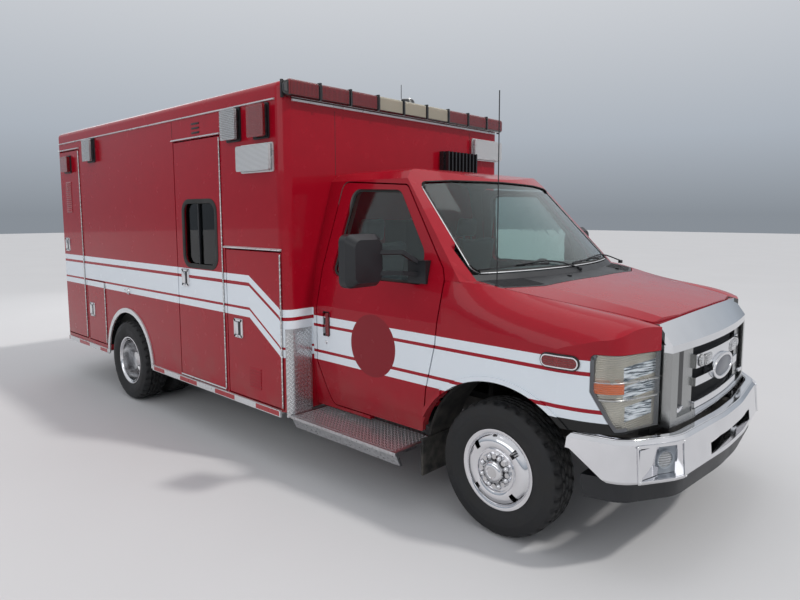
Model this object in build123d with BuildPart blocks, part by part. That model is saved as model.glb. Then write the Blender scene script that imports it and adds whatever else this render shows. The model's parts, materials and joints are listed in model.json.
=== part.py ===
from build123d import *
import math
import os

# Box-body ambulance on a cutaway van chassis with twin rear wheels.
# Millimetres. +X is forward, +Y the driver's side, +Z up, ground at z = 0.
# The origin is on the ground, midway between the bumper's face and the rear step.
# Tables say "ahead" for the distance ahead of the front axle; behind it is negative.

# Driving dimensions: chassis and wheels
WHEELBASE = 4013
FRONT_OVERHANG = 929
REAR_OVERHANG = 1837
FRONT_TRACK = 1763
REAR_TRACK = 1978
DUAL_SPACING = 290
TYRE_R = 372
TYRE_W = 223
RIM_R = 205
RIM_FLANGE_R = 221
LUG_CIRCLE_R = 83
RAIL_Y = 430
RAIL_TOP = 600
RAIL_H = 150
RAIL_W = 70
KINGPIN_Y = 745

# Driving dimensions: module
MODULE_BEHIND_AXLE = 1531
REAR_STEP = 200
MODULE_W = 2438
MODULE_BOTTOM = 400
MODULE_TOP = 2612
MODULE_CORNER_R = 75
MODULE_ROOF_R = 45
WALL = 50
ROOF_T = 55
FLOOR_TOP = 800
FLOOR_T = 45
LINER = 18
DOOR_GAP = 9
DOOR_EDGE = 3
HINGE_R = 5
HINGE_OUT = 6
ARCH_R = 455
ARCH_RING_W = 42
ARCH_RING_T = 12
WELL_DEPTH = 560
WELL_TOP = 900
LOCKER_DEPTH = 470
STEP_WELL_DEPTH = 400

# Driving dimensions: cab
CAB_HALF_W = 1000
CAB_BOTTOM = 420
CAB_UNDERSIDE = 250
CAB_SKIN = 40
CAB_FLOOR_TOP = 640
CAB_ROOF_TOP = 2085
HOOD_T = 30
HOOD_GAP = 12
CAB_DOOR_T = 75
GLASS_T = 6
FRONT_ARCH_R = 565
FRONT_ARCH_Z = 295
ARCH_LIP_W = 26
ARCH_LIP_OUT = 8
LAMP_DEPTH = 110

# Stations worked out from the driving dimensions
OVERALL = FRONT_OVERHANG + WHEELBASE + REAR_OVERHANG
AXLE_F = OVERALL / 2 - FRONT_OVERHANG
AXLE_R = AXLE_F - WHEELBASE
MODULE_FRONT = AXLE_F - MODULE_BEHIND_AXLE
MODULE_REAR = -OVERALL / 2 + REAR_STEP
MODULE_LENGTH = MODULE_FRONT - MODULE_REAR
MODULE_MID = (MODULE_FRONT + MODULE_REAR) / 2
HALF_W = MODULE_W / 2
INNER_HALF_W = HALF_W - WALL
WALL_TOP = MODULE_TOP - ROOF_T
CURB, STREET = -1, 1
SIDES = (("right", CURB), ("left", STREET))
FAR = 3000  # a reach past everything, for cutting right through

os.makedirs("parts", exist_ok=True)


def ahead(x):
    """X of a point this far ahead of the front axle."""
    return AXLE_F + x


def block(xs, ys, zs, mode=Mode.ADD):
    """A box between two corners, in whatever order they come."""
    (x0, x1), (y0, y1), (z0, z1) = xs, ys, zs
    with Locations(((x0 + x1) / 2, (y0 + y1) / 2, (z0 + z1) / 2)):
        Box(abs(x1 - x0), abs(y1 - y0), abs(z1 - z0), mode=mode)


def outline(points, grow=0, about=None):
    """A face from a table of across, up and corner radius, mirrored over a plane if one is given."""
    with BuildSketch() as face:
        with BuildLine():
            Polyline([(across, up) for across, up, _ in points], close=True)
        make_face()
        for across, up, radius in points:
            if radius:
                fillet(face.vertices().sort_by_distance((across, up))[0], radius)
        if about:
            mirror(about=about)
        if grow:
            offset(amount=grow, kind=Kind.INTERSECTION, mode=Mode.REPLACE)
    return face.sketch


def side_plane(y, side):
    """A plane at y that faces outwards on its side, its sketches reading z up."""
    return Plane(origin=(0, y, 0), x_dir=(-side, 0, 0), z_dir=(0, side, 0))


def save(piece, name):
    """Label a finished piece and write it."""
    piece.label = name
    export_step(piece, f"parts/{name}.step")


def mirrored(piece):
    """The same piece on the other side of the vehicle."""
    return mirror(piece, about=Plane.XZ)


STREET_DOOR_TOP = MODULE_TOP - 287
# Side doors of the module and what lies behind them:
# name, side, front edge, width, bottom, top, compartment depth (0 is a doorway)
SIDE_DOORS = [
    ("side_entry_door", CURB, MODULE_FRONT - 767, 717, MODULE_BOTTOM + 10, MODULE_TOP - 287, 0),
    ("curb_front_door", CURB, MODULE_FRONT - 49, 690, MODULE_BOTTOM + 10, 1500, LOCKER_DEPTH),
    ("curb_low_door", CURB, AXLE_R - 520, 467, MODULE_BOTTOM + 40, 1080, LOCKER_DEPTH),
    ("curb_rear_door", CURB, AXLE_R - 1022, 565, MODULE_BOTTOM + 40, MODULE_TOP - 197, LOCKER_DEPTH),
    ("street_front_door", STREET, MODULE_FRONT - 69, 640, MODULE_BOTTOM + 10, STREET_DOOR_TOP, LOCKER_DEPTH),
    ("street_rear_door", STREET, AXLE_R - 1022, 565, MODULE_BOTTOM + 40, STREET_DOOR_TOP, LOCKER_DEPTH),
]
# door: distance of the handle behind the front edge, height
HANDLES = {
    "side_entry_door": (575, 1240),
    "curb_front_door": (530, 920),
    "curb_low_door": (337, 772),
    "curb_rear_door": (435, 1423),
    "street_front_door": (510, 1240),
    "street_rear_door": (435, 1240),
}
# door: distance of the louvres' middle behind the front edge, height, width, slats
VENTS = {
    "curb_front_door": (331, 585, 138, 7),
    "curb_rear_door": (328, 1932, 150, 15),
    "street_front_door": (320, 1932, 150, 15),
    "street_rear_door": (328, 1932, 150, 15),
}
HANDLE_W, HANDLE_H, HANDLE_OUT, HANDLE_CORNER_R = 110, 140, 9, 12
PADDLE_W, PADDLE_H, PADDLE_TOP = 66, 78, 22
LOUVRE_PITCH, LOUVRE_OUT = 22, 9
# door: distance of its lamp's middle behind the front edge, height, width, tall, stand-off
DOOR_LAMPS = {"curb_rear_door": (310, 2270, 180, 180, 45)}
LAMP_CORNER_R, LAMP_FLANGE_T, LAMP_FLANGE_W, LAMP_DRAFT = 12, 10, 14, 8
ENTRY_WINDOW = (337.5, 1593.5, 500, 507, 90)  # behind the front edge, height, width, tall, corner
PANE_INSET = 22

REAR_DOOR_HALF = 610
REAR_DOOR_Z = (812, 2370)
REAR_WINDOW = (305, 1735, 370, 570, 60)  # from the middle, height, width, tall, corner
REAR_HANDLE_Y, REAR_HANDLE_Z = 115, 1240
PASSAGE_HALF, PASSAGE_Z = 280, (860, 1700)
UNDER_HALF = 730
COT_PLATE_X = (MODULE_FRONT - 970, MODULE_REAR + 750)
COT_PLATE_HALF, COT_PLATE_T = 300, 6

# Module floor: with the step well, the wheel wells and the boxes of the compartments
with BuildPart() as module_floor:
    floor_x = (MODULE_REAR + WALL, MODULE_FRONT - WALL)
    block(floor_x, (-INNER_HALF_W, INNER_HALF_W), (FLOOR_TOP - FLOOR_T, FLOOR_TOP))
    for name, side, front, width, low, high, depth in SIDE_DOORS:
        top = high + 2 * LINER if depth else FLOOR_TOP
        y_back = side * (HALF_W - (depth or STEP_WELL_DEPTH) - LINER)
        box_x = (max(front - width - LINER, floor_x[0]), min(front + LINER, floor_x[1]))
        block(box_x, (side * INNER_HALF_W, y_back), (low - LINER, top))
    for name, side, front, width, low, high, depth in SIDE_DOORS:
        top = high + LINER if depth else FLOOR_TOP
        y_back = side * (HALF_W - (depth or STEP_WELL_DEPTH))
        block((front - width, front), (side * INNER_HALF_W, y_back), (low, top), Mode.SUBTRACT)
    for _, side in SIDES:
        well_x = (AXLE_R - ARCH_R, AXLE_R + ARCH_R)
        block(
            (well_x[0] - LINER, well_x[1] + LINER),
            (side * INNER_HALF_W, side * (HALF_W - WELL_DEPTH - LINER)),
            (FLOOR_TOP - FLOOR_T, WELL_TOP + LINER),
        )
        block(
            well_x,
            (side * INNER_HALF_W, side * (HALF_W - WELL_DEPTH)),
            (MODULE_BOTTOM, WELL_TOP),
            Mode.SUBTRACT,
        )
    # a plate down the aisle takes the cot's fastener
    block(COT_PLATE_X, (-COT_PLATE_HALF, COT_PLATE_HALF), (FLOOR_TOP, FLOOR_TOP + COT_PLATE_T))
save(module_floor.part, "module_floor")

# Module walls: all four in one piece of work, then parted into the sides and the ends
with BuildPart() as module_walls:
    with BuildSketch(Plane((MODULE_MID, 0, MODULE_BOTTOM))):
        RectangleRounded(MODULE_LENGTH, MODULE_W, MODULE_CORNER_R)
        Rectangle(MODULE_LENGTH - 2 * WALL, MODULE_W - 2 * WALL, mode=Mode.SUBTRACT)
    extrude(amount=WALL_TOP - MODULE_BOTTOM)
    for name, side, front, width, low, high, depth in SIDE_DOORS:
        block((front - width, front), (side * (INNER_HALF_W - 1), side * FAR), (low, high), Mode.SUBTRACT)
    with BuildSketch(Plane.XZ):
        with Locations((AXLE_R, TYRE_R)):
            Circle(ARCH_R)
        with Locations((AXLE_R, TYRE_R / 2)):
            Rectangle(2 * ARCH_R, TYRE_R)
    extrude(amount=FAR, both=True, mode=Mode.SUBTRACT)
    block(
        (MODULE_REAR - 1, MODULE_REAR + WALL + 1),
        (-REAR_DOOR_HALF, REAR_DOOR_HALF),
        REAR_DOOR_Z,
        Mode.SUBTRACT,
    )
    front_wall_x = (MODULE_FRONT + 1, MODULE_FRONT - WALL - 1)
    block(front_wall_x, (-PASSAGE_HALF, PASSAGE_HALF), PASSAGE_Z, Mode.SUBTRACT)
    block(front_wall_x, (-UNDER_HALF, UNDER_HALF), (MODULE_BOTTOM - 1, FLOOR_TOP - FLOOR_T), Mode.SUBTRACT)

side_part_x = (MODULE_REAR + MODULE_CORNER_R, MODULE_FRONT - MODULE_CORNER_R)
with BuildPart() as module_sides:
    add(module_walls.part)
    block(side_part_x, (-FAR, FAR), (0, FAR), Mode.INTERSECT)
save(module_sides.part, "module_sides")

with BuildPart() as module_ends:
    add(module_walls.part)
    block(side_part_x, (-FAR, FAR), (0, FAR), Mode.SUBTRACT)
save(module_ends.part, "module_ends")

with BuildPart() as module_roof:
    with BuildSketch(Plane((MODULE_MID, 0, WALL_TOP))):
        RectangleRounded(MODULE_LENGTH, MODULE_W, MODULE_CORNER_R)
    extrude(amount=ROOF_T)
    fillet(module_roof.faces().sort_by(Axis.Z)[-1].edges(), MODULE_ROOF_R)
save(module_roof.part, "module_roof")


# Module doors: a slab as thick as the wall, with its piano hinge, paddle handle and louvres
def door_handle(plane):
    """A dished plate with a lift-up paddle, on a plane at its middle that faces outwards."""
    with BuildPart() as handle:
        with BuildSketch(plane):
            RectangleRounded(HANDLE_W, HANDLE_H, HANDLE_CORNER_R)
        extrude(amount=HANDLE_OUT)
        with BuildSketch(plane.offset(HANDLE_OUT)):
            RectangleRounded(
                HANDLE_W - 2 * HANDLE_CORNER_R,
                HANDLE_H - 2 * HANDLE_CORNER_R,
                HANDLE_CORNER_R / 2,
            )
        extrude(amount=1 - HANDLE_OUT, mode=Mode.SUBTRACT)
        with BuildSketch(plane.offset(1)):
            with Locations((0, PADDLE_TOP - HANDLE_H / 2 + HANDLE_CORNER_R)):
                Rectangle(PADDLE_W, PADDLE_H, align=(Align.CENTER, Align.MIN))
        extrude(amount=HANDLE_OUT, taper=20)
    return handle.part


def louvres(plane, width, slats):
    """A column of open-bottomed louvres, on a plane at its middle that faces outwards."""
    with BuildPart() as vent:
        across = plane.shift_origin(plane.from_local_coords((-width / 2, 0, 0)))
        across = Plane(origin=across.origin, x_dir=plane.z_dir, z_dir=plane.x_dir)
        rise = 1 if across.y_dir.Z > 0 else -1
        with BuildSketch(across):
            for number in range(slats):
                z = (number - slats / 2) * LOUVRE_PITCH * rise
                with BuildLine():
                    Polyline((0, z), (LOUVRE_OUT, z), (0, z + 0.7 * LOUVRE_PITCH * rise), close=True)
                make_face()
        extrude(amount=width)
    return vent.part


def box_lamp(plane, wide, tall, out):
    """A warning or scene lamp: a thin flange and a lens that draws in towards its face."""
    with BuildPart() as lamp:
        with BuildSketch(plane):
            RectangleRounded(wide, tall, LAMP_CORNER_R)
        extrude(amount=LAMP_FLANGE_T)
        with BuildSketch(plane.offset(LAMP_FLANGE_T)):
            Rectangle(wide - 2 * LAMP_FLANGE_W, tall - 2 * LAMP_FLANGE_W)
        extrude(amount=out - LAMP_FLANGE_T, taper=LAMP_DRAFT)
    return lamp.part


def module_door(name, side, front, width, low, high):
    """One side door, hinged along its front edge."""
    y_out = side * HALF_W
    z_span = (low + DOOR_GAP, high - DOOR_GAP)
    with BuildPart() as door:
        block((front - width + DOOR_GAP, front - DOOR_GAP), (y_out, side * INNER_HALF_W), z_span)
        chamfer(door.faces().sort_by(Axis.Y)[max(side, 0) - (side > 0) * 2].edges(), DOOR_EDGE)
        hinge_x = front - DOOR_GAP / 2
        with Locations((hinge_x, y_out + side * HINGE_OUT, (low + high) / 2)):
            Cylinder(HINGE_R, high - low - 2 * DOOR_GAP)
        block(
            (hinge_x, hinge_x - 5 * HINGE_R),
            (y_out - side * DOOR_EDGE, y_out + side * HINGE_OUT / 2),
            z_span,
        )
        back, up = HANDLES[name]
        plane = side_plane(y_out, side)
        add(door_handle(plane.shift_origin((front - back, y_out, up))))
        if name in VENTS:
            back, up, wide, slats = VENTS[name]
            add(louvres(plane.shift_origin((front - back, y_out, up)), wide, slats))
        if name in DOOR_LAMPS:
            back, up, wide, tall, out = DOOR_LAMPS[name]
            add(box_lamp(plane.shift_origin((front - back, y_out, up)), wide, tall, out))
        if name == "side_entry_door":
            back, up, wide, tall, radius = ENTRY_WINDOW
            with BuildSketch(plane.shift_origin((front - back, y_out, up))):
                RectangleRounded(wide, tall, radius)
            extrude(amount=FAR / 10, both=True, mode=Mode.SUBTRACT)
    return door.part


for name, side, front, width, low, high, depth in SIDE_DOORS:
    save(module_door(name, side, front, width, low, high), name)

with BuildPart() as side_entry_glass:
    back, up, wide, tall, radius = ENTRY_WINDOW
    y_pane = -HALF_W + PANE_INSET
    with BuildSketch(side_plane(y_pane, CURB).shift_origin((SIDE_DOORS[0][2] - back, y_pane, up))):
        RectangleRounded(wide, tall, radius)
    extrude(amount=-GLASS_T)
save(side_entry_glass.part, "side_entry_glass")

REAR_HINGE_Y = REAR_DOOR_HALF - DOOR_GAP / 2
rear_z = (REAR_DOOR_Z[0] + DOOR_GAP, REAR_DOOR_Z[1] - DOOR_GAP)
rear_plane = Plane(origin=(MODULE_REAR, 0, 0), x_dir=(0, -1, 0), z_dir=(-1, 0, 0))
with BuildPart() as rear_door_left:
    block((MODULE_REAR, MODULE_REAR + WALL), (DOOR_GAP / 2, REAR_DOOR_HALF - DOOR_GAP), rear_z)
    chamfer(rear_door_left.faces().sort_by(Axis.X)[0].edges(), DOOR_EDGE)
    with Locations((MODULE_REAR - HINGE_OUT, REAR_HINGE_Y, sum(REAR_DOOR_Z) / 2)):
        Cylinder(HINGE_R, rear_z[1] - rear_z[0])
    block(
        (MODULE_REAR - HINGE_OUT / 2, MODULE_REAR + DOOR_EDGE),
        (REAR_HINGE_Y, REAR_HINGE_Y - 5 * HINGE_R),
        rear_z,
    )
    add(door_handle(rear_plane.shift_origin((MODULE_REAR, REAR_HANDLE_Y, REAR_HANDLE_Z))))
    across, up, wide, tall, radius = REAR_WINDOW
    with BuildSketch(rear_plane.shift_origin((MODULE_REAR, across, up))):
        RectangleRounded(wide, tall, radius)
    extrude(amount=FAR / 10, both=True, mode=Mode.SUBTRACT)
save(rear_door_left.part, "rear_door_left")
save(mirrored(rear_door_left.part), "rear_door_right")

with BuildPart() as rear_glass_left:
    with BuildSketch(rear_plane.offset(-PANE_INSET).shift_origin((MODULE_REAR + PANE_INSET, across, up))):
        RectangleRounded(wide, tall, radius)
    extrude(amount=-GLASS_T)
save(rear_glass_left.part, "rear_glass_left")
save(mirrored(rear_glass_left.part), "rear_glass_right")


# Cab form: the cabin is a side profile crossed with a cross-section, cut by the windshield's
# bowed surface; the nose is a loft of cross-sections, rounded in plan at its front corners
CABIN_PROFILE = [
    # ahead, height, corner radius
    (-MODULE_BEHIND_AXLE - 200, CAB_UNDERSIDE, 0),
    (-MODULE_BEHIND_AXLE - 200, CAB_ROOF_TOP, 0),
    (-1150, CAB_ROOF_TOP - 6, 2500),
    (-750, CAB_ROOF_TOP - 62, 700),
    (-560, CAB_ROOF_TOP - 150, 0),
    (0, 1400, 0),
    (0, 1374, 0),
    (-375, 1374, 0),
    (-375, CAB_UNDERSIDE, 0),
]
CABIN_SECTION = [
    # half width, height, corner radius
    (0, CAB_UNDERSIDE, 0),
    (CAB_HALF_W - 70, CAB_UNDERSIDE, 0),
    (CAB_HALF_W - 15, 560, 300),
    (CAB_HALF_W, 733, 0),
    (CAB_HALF_W, 1128, 0),
    (CAB_HALF_W - 32, 1374, 0),
    (CAB_HALF_W - 188, 1972, 0),
    (CAB_HALF_W - 255, 2030, 90),
    (CAB_HALF_W - 600, CAB_ROOF_TOP - 15, 1200),
    (0, CAB_ROOF_TOP, 0),
]
NOSE_STATIONS = [
    # ahead, shoulder height, hood edge half width and height, centre panel half width and height,
    # crown height, bulge of the fender's arc as a share of its chord
    (-375, 1140, 962, 1375, 640, 1386, 1394, 0.05),
    (-240, 1140, 950, 1373, 635, 1384, 1392, 0.06),
    (0, 1130, 852, 1336, 600, 1352, 1366, 0.14),
    (400, 1090, 735, 1268, 580, 1290, 1308, 0.20),
    (640, 1040, 662, 1222, 565, 1247, 1262, 0.20),
    (770, 930, 636, 1194, 550, 1212, 1228, 0.16),
]
NOSE_PLAN = [
    # ahead, half width, corner radius
    (-1200, 0, 0),
    (-1200, 1030, 0),
    (150, 1030, 0),
    (480, 983, 500),
    (640, 925, 140),
    (738, 655, 0),
    (765, 0, 0),
]
SCREEN_BASE_AHEAD = -90
SCREEN_BASE_Z = 1398
SCREEN_SAG = 165
SCREEN_HALF = 870
SCREEN_LEAN = -1.0  # run back for each unit of rise
SCREEN_CUT_Z = 1374


def screen_slice(z, shift, reach, half):
    """Plan face that starts at the windshield's surface, moved forward by shift, and is reach deep."""
    base = ahead(SCREEN_BASE_AHEAD) + shift + SCREEN_LEAN * (z - SCREEN_BASE_Z)
    sag = SCREEN_SAG * (half / SCREEN_HALF) ** 2
    with BuildSketch() as slice_face:
        with BuildLine():
            ThreePointArc((base - sag, -half), (base, 0), (base - sag, half))
            Line((base - sag, half), (base - sag + reach, half))
            ThreePointArc((base - sag + reach, half), (base + reach, 0), (base - sag + reach, -half))
            Line((base - sag + reach, -half), (base - sag, -half))
        make_face()
    return slice_face.sketch


def screen_band(z0, z1, shift, reach, half):
    """A leaning, bowed band between two heights, starting at the windshield's surface."""
    with BuildPart() as band:
        with BuildSketch(Plane.XY.offset(z0)):
            add(screen_slice(z0, shift, reach, half))
        extrude(amount=(z1 - z0) * math.hypot(1, SCREEN_LEAN), dir=(SCREEN_LEAN, 0, 1))
    return band.part


def nose_section(row, inset):
    """Closed cross-section of the nose at one station, drawn in by the inset."""
    _, shoulder, edge, edge_z, panel, panel_z, crown, bulge = row
    side = (CAB_HALF_W - inset, shoulder)
    rim = (edge - 0.6 * inset, edge_z - 0.8 * inset)
    crest = (panel - 0.2 * inset, panel_z - inset)
    chord = (rim[0] - side[0], rim[1] - side[1])
    middle = (
        (side[0] + rim[0]) / 2 + bulge * chord[1],
        (side[1] + rim[1]) / 2 - bulge * chord[0],
    )
    with BuildSketch() as section:
        with BuildLine():
            Line((-side[0], CAB_UNDERSIDE), (side[0], CAB_UNDERSIDE))
            Line((side[0], CAB_UNDERSIDE), side)
            ThreePointArc(side, middle, rim)
            Line(rim, crest)
            ThreePointArc(crest, (0, crown - inset), (-crest[0], crest[1]))
            Line((-crest[0], crest[1]), (-rim[0], rim[1]))
            ThreePointArc((-rim[0], rim[1]), (-middle[0], middle[1]), (-side[0], side[1]))
            Line((-side[0], side[1]), (-side[0], CAB_UNDERSIDE))
        make_face()
    return section.sketch


def cab_form(inset):
    """The cab's outer form, drawn in by the inset; it runs on behind the module's front."""
    with BuildPart() as nose:
        for row in NOSE_STATIONS:
            with BuildSketch(Plane.YZ.offset(ahead(row[0]))):
                add(nose_section(row, inset))
        loft()
        with BuildSketch(Plane.XY.offset(CAB_UNDERSIDE)):
            add(outline([(ahead(x), y, r) for x, y, r in NOSE_PLAN], -inset, Plane.XZ))
        extrude(amount=FAR, mode=Mode.INTERSECT)
    with BuildPart() as form:
        with BuildSketch(Plane.XZ):
            add(outline([(ahead(x), z, r) for x, z, r in CABIN_PROFILE], -inset))
        extrude(amount=CAB_HALF_W + 50, both=True)
        with BuildSketch(Plane.YZ):
            add(outline(CABIN_SECTION, -inset, Plane.YZ))
        extrude(amount=OVERALL, both=True, mode=Mode.INTERSECT)
        add(screen_band(SCREEN_CUT_Z, CAB_ROOF_TOP + 60, -inset, 1400, CAB_HALF_W + 100), mode=Mode.SUBTRACT)
        if inset:
            # the cabin's room runs on into the nose
            block(
                (ahead(-500), ahead(-370)),
                (-CAB_HALF_W + 2 * inset, CAB_HALF_W - 2 * inset),
                (CAB_UNDERSIDE, 1300),
            )
        add(nose.part)
    return form.part


PANE_DEEP = 20
DOOR_OUTER_T = 25
INSETS = (0, -ARCH_LIP_OUT, ARCH_LIP_OUT, HOOD_T, CAB_SKIN, DOOR_OUTER_T, CAB_DOOR_T, LAMP_DEPTH)
FORM = {inset: cab_form(inset) for inset in INSETS + (PANE_DEEP, PANE_DEEP + GLASS_T)}

DOOR_OUTLINE = [
    # ahead, height, corner radius
    (-533, 443, 25),
    (-486, 722, 0),
    (-417, 1000, 0),
    (-374, 1378, 0),
    (-395, 1440, 0),
    (-790, 1935, 60),
    (-1400, 1972, 60),
    (-1490, 1100, 0),
    (-1490, 740, 0),
    (-1360, 443, 60),
]
WINDOW_OUTLINE = [
    # ahead, height, corner radius
    (-1360, 1335, 60),
    (-1285, 1915, 70),
    (-845, 1900, 90),
    (-560, 1530, 120),
    (-545, 1335, 25),
]
SCREEN_OUTLINE = [
    # half width, height, corner radius
    (0, 1405, 0),
    (855, 1405, 45),
    (757, 1950, 70),
    (500, 1966, 0),
    (0, 1972, 0),
]
HOOD_PLAN = [
    # ahead, half width, corner radius
    (80, 0, 0),
    (45, 600, 0),
    (-62, 868, 15),
    (690, 640, 45),
    (731, 400, 0),
    (743, 0, 0),
]
COWL_PLAN = [
    (-415, 0, 0),
    (-415, 866, 0),
    (-62, 866, 0),
    (45, 600, 0),
    (80, 0, 0),
]
LAMP_IN_Y = 660
LAMP_Z = (715, 1088)
LAMP_OUTLINE = [
    # ahead, height, corner radius
    (518, LAMP_Z[1], 25),
    (518, 905, 0),
    (625, LAMP_Z[0], 0),
    (900, LAMP_Z[0], 0),
    (900, LAMP_Z[1], 0),
]
PILLAR_FOOT = 1377
HOOD_LOW = 1095
HOOD_LIP_LOW = 1172
DOOR_FRONT = DOOR_OUTLINE[3][0]
FENDER_BACK = -530
NOSE_OPENING = 480
ROOF_SPLIT = 1900
FIREWALL = (-330, -295)
FITTED = 2  # clearance round a pane or lens in its opening


def side_prism(points, grow, side):
    """A prism out through one side of the cab, on an outline of ahead, height and corner radius."""
    with BuildPart() as prism:
        with BuildSketch(Plane.XZ):
            add(outline([(ahead(x), z, r) for x, z, r in points], grow))
        extrude(amount=-side * FAR)
        block((-OVERALL, OVERALL), (0, side * 600), (0, FAR), Mode.SUBTRACT)
    return prism.part


def plan_prism(points, grow, z0, z1):
    """A prism on a half outline in plan, mirrored over the middle."""
    with BuildPart() as prism:
        with BuildSketch(Plane.XY.offset(z0)):
            add(outline([(ahead(x), y, r) for x, y, r in points], grow, Plane.XZ))
        extrude(amount=z1 - z0)
    return prism.part


def front_prism(points, grow, x0, x1):
    """A prism along X on a half outline seen from ahead."""
    with BuildPart() as prism:
        with BuildSketch(Plane.YZ.offset(ahead(x0))):
            add(outline(points, grow, Plane.YZ))
        extrude(amount=x1 - x0)
    return prism.part


def arch_prism(radius, y_from, y_to):
    """A cylinder about the front arch's centre, between two distances from the middle, on both sides."""
    with BuildPart() as prism:
        for _, side in SIDES:
            with BuildSketch(Plane.XZ.offset(-side * y_from)):
                with Locations((AXLE_F, FRONT_ARCH_Z)):
                    Circle(radius)
            extrude(amount=-side * (y_to - y_from))
    return prism.part


hood_zone = plan_prism(HOOD_PLAN, 0, HOOD_LOW, 1500)
cowl_zone = plan_prism(COWL_PLAN, 0, 1200, 1600)
screen_zone = front_prism(SCREEN_OUTLINE, FITTED, -1100, 0)

with BuildPart() as shell:
    add(FORM[0])
    add(FORM[CAB_SKIN], mode=Mode.SUBTRACT)
    block((-OVERALL, MODULE_FRONT), (-FAR, FAR), (0, FAR), Mode.SUBTRACT)
    block((-OVERALL, OVERALL), (-FAR, FAR), (0, CAB_BOTTOM), Mode.SUBTRACT)
    add(arch_prism(FRONT_ARCH_R, 0, FAR), mode=Mode.SUBTRACT)
    add(side_prism(DOOR_OUTLINE, 0, CURB), mode=Mode.SUBTRACT)
    block((-OVERALL, OVERALL), (0, FAR), (0, FAR), Mode.SUBTRACT)
    mirror(about=Plane.XZ)

with BuildPart() as hood:
    add(FORM[0])
    add(FORM[HOOD_T], mode=Mode.SUBTRACT)
    add(plan_prism(HOOD_PLAN, -HOOD_GAP / 2, HOOD_LOW, 1500), mode=Mode.INTERSECT)
    block((ahead(600), ahead(900)), (-FAR, FAR), (0, HOOD_LIP_LOW), Mode.SUBTRACT)
save(hood.part, "hood")

# Fenders with the lips of their arches and the nose panels over the lamps
with BuildPart() as fenders:
    add(FORM[-ARCH_LIP_OUT])
    add(FORM[ARCH_LIP_OUT], mode=Mode.SUBTRACT)
    add(arch_prism(FRONT_ARCH_R + ARCH_LIP_W, 600, FAR), mode=Mode.INTERSECT)
    add(arch_prism(FRONT_ARCH_R, 600, FAR), mode=Mode.SUBTRACT)
    block((-OVERALL, OVERALL), (-FAR, FAR), (0, CAB_BOTTOM), Mode.SUBTRACT)
    for _, side in SIDES:
        add(side_prism(DOOR_OUTLINE, 0, side), mode=Mode.SUBTRACT)
    add(shell.part)
    add(hood_zone, mode=Mode.SUBTRACT)
    add(cowl_zone, mode=Mode.SUBTRACT)
    block((-OVERALL, ahead(100)), (-FAR, FAR), (PILLAR_FOOT, FAR), Mode.SUBTRACT)
    block((-OVERALL, ahead(FENDER_BACK)), (-FAR, FAR), (0, PILLAR_FOOT), Mode.SUBTRACT)
    block((ahead(-600), ahead(-50)), (-940, 940), (300, 1200), Mode.SUBTRACT)
    block((ahead(-50), ahead(NOSE_OPENING)), (-940, 940), (300, 1040), Mode.SUBTRACT)
    block((ahead(NOSE_OPENING), ahead(900)), (-LAMP_IN_Y, LAMP_IN_Y), (300, 1300), Mode.SUBTRACT)
    block((ahead(380), ahead(900)), (-FAR, FAR), (300, LAMP_Z[0] - 10), Mode.SUBTRACT)
    for _, side in SIDES:
        add(side_prism(LAMP_OUTLINE, 0, side), mode=Mode.SUBTRACT)
save(fenders.part, "fenders")

with BuildPart() as headlamps:
    for _, side in SIDES:
        add(side_prism(LAMP_OUTLINE, -FITTED, side))
    block((ahead(0), ahead(900)), (-LAMP_IN_Y - FITTED, LAMP_IN_Y + FITTED), (300, 1500), Mode.SUBTRACT)
    add(FORM[0], mode=Mode.INTERSECT)
    add(FORM[LAMP_DEPTH], mode=Mode.SUBTRACT)
save(headlamps.part, "headlamps")

# Cab roof, and the frame of pillars, sills, floor and firewall under it
with BuildPart() as cab_roof:
    add(shell.part)
    add(screen_zone, mode=Mode.SUBTRACT)
    block((-OVERALL, OVERALL), (-FAR, FAR), (0, ROOF_SPLIT), Mode.SUBTRACT)
save(cab_roof.part, "cab_roof")

with BuildPart() as cab_frame:
    add(shell.part)
    add(screen_zone, mode=Mode.SUBTRACT)
    block((-OVERALL, OVERALL), (-FAR, FAR), (ROOF_SPLIT, FAR), Mode.SUBTRACT)
    block((ahead(DOOR_FRONT), ahead(900)), (-FAR, FAR), (0, PILLAR_FOOT), Mode.SUBTRACT)
    add(cowl_zone, mode=Mode.SUBTRACT)
    block((ahead(-1000), ahead(FENDER_BACK)), (-FAR, FAR), (0, CAB_FLOOR_TOP - CAB_SKIN), Mode.SUBTRACT)
    block((ahead(FENDER_BACK), ahead(-300)), (-FAR, FAR), (0, PILLAR_FOOT), Mode.SUBTRACT)
    add(hood_zone, mode=Mode.SUBTRACT)
    block((MODULE_FRONT, ahead(FIREWALL[0])), (-900, 900), (CAB_FLOOR_TOP - CAB_SKIN, CAB_FLOOR_TOP))
    block((ahead(FIREWALL[0]), ahead(FIREWALL[1])), (-900, 900), (CAB_FLOOR_TOP - CAB_SKIN, 1335))
    for _, side in SIDES:
        block((MODULE_FRONT, ahead(-545)), (side * 875, side * 800), (450, 605))
        block((MODULE_FRONT, ahead(-1506)), (side * 850, side * 962), (450, 1100))
        block((ahead(FIREWALL[0]), ahead(FIREWALL[1])), (side * 880, side * 922), (780, 1320))
    add(arch_prism(FRONT_ARCH_R + 14, 590, 1010), mode=Mode.SUBTRACT)
save(cab_frame.part, "cab_frame")

SCREEN_SET_IN = 6
with BuildPart() as windshield:
    run = GLASS_T * math.hypot(1, SCREEN_LEAN)
    add(screen_band(SCREEN_BASE_Z, 2010, -SCREEN_SET_IN - run, run, CAB_HALF_W))
    add(front_prism(SCREEN_OUTLINE, -FITTED, -1100, 0), mode=Mode.INTERSECT)
save(windshield.part, "windshield")

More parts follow.
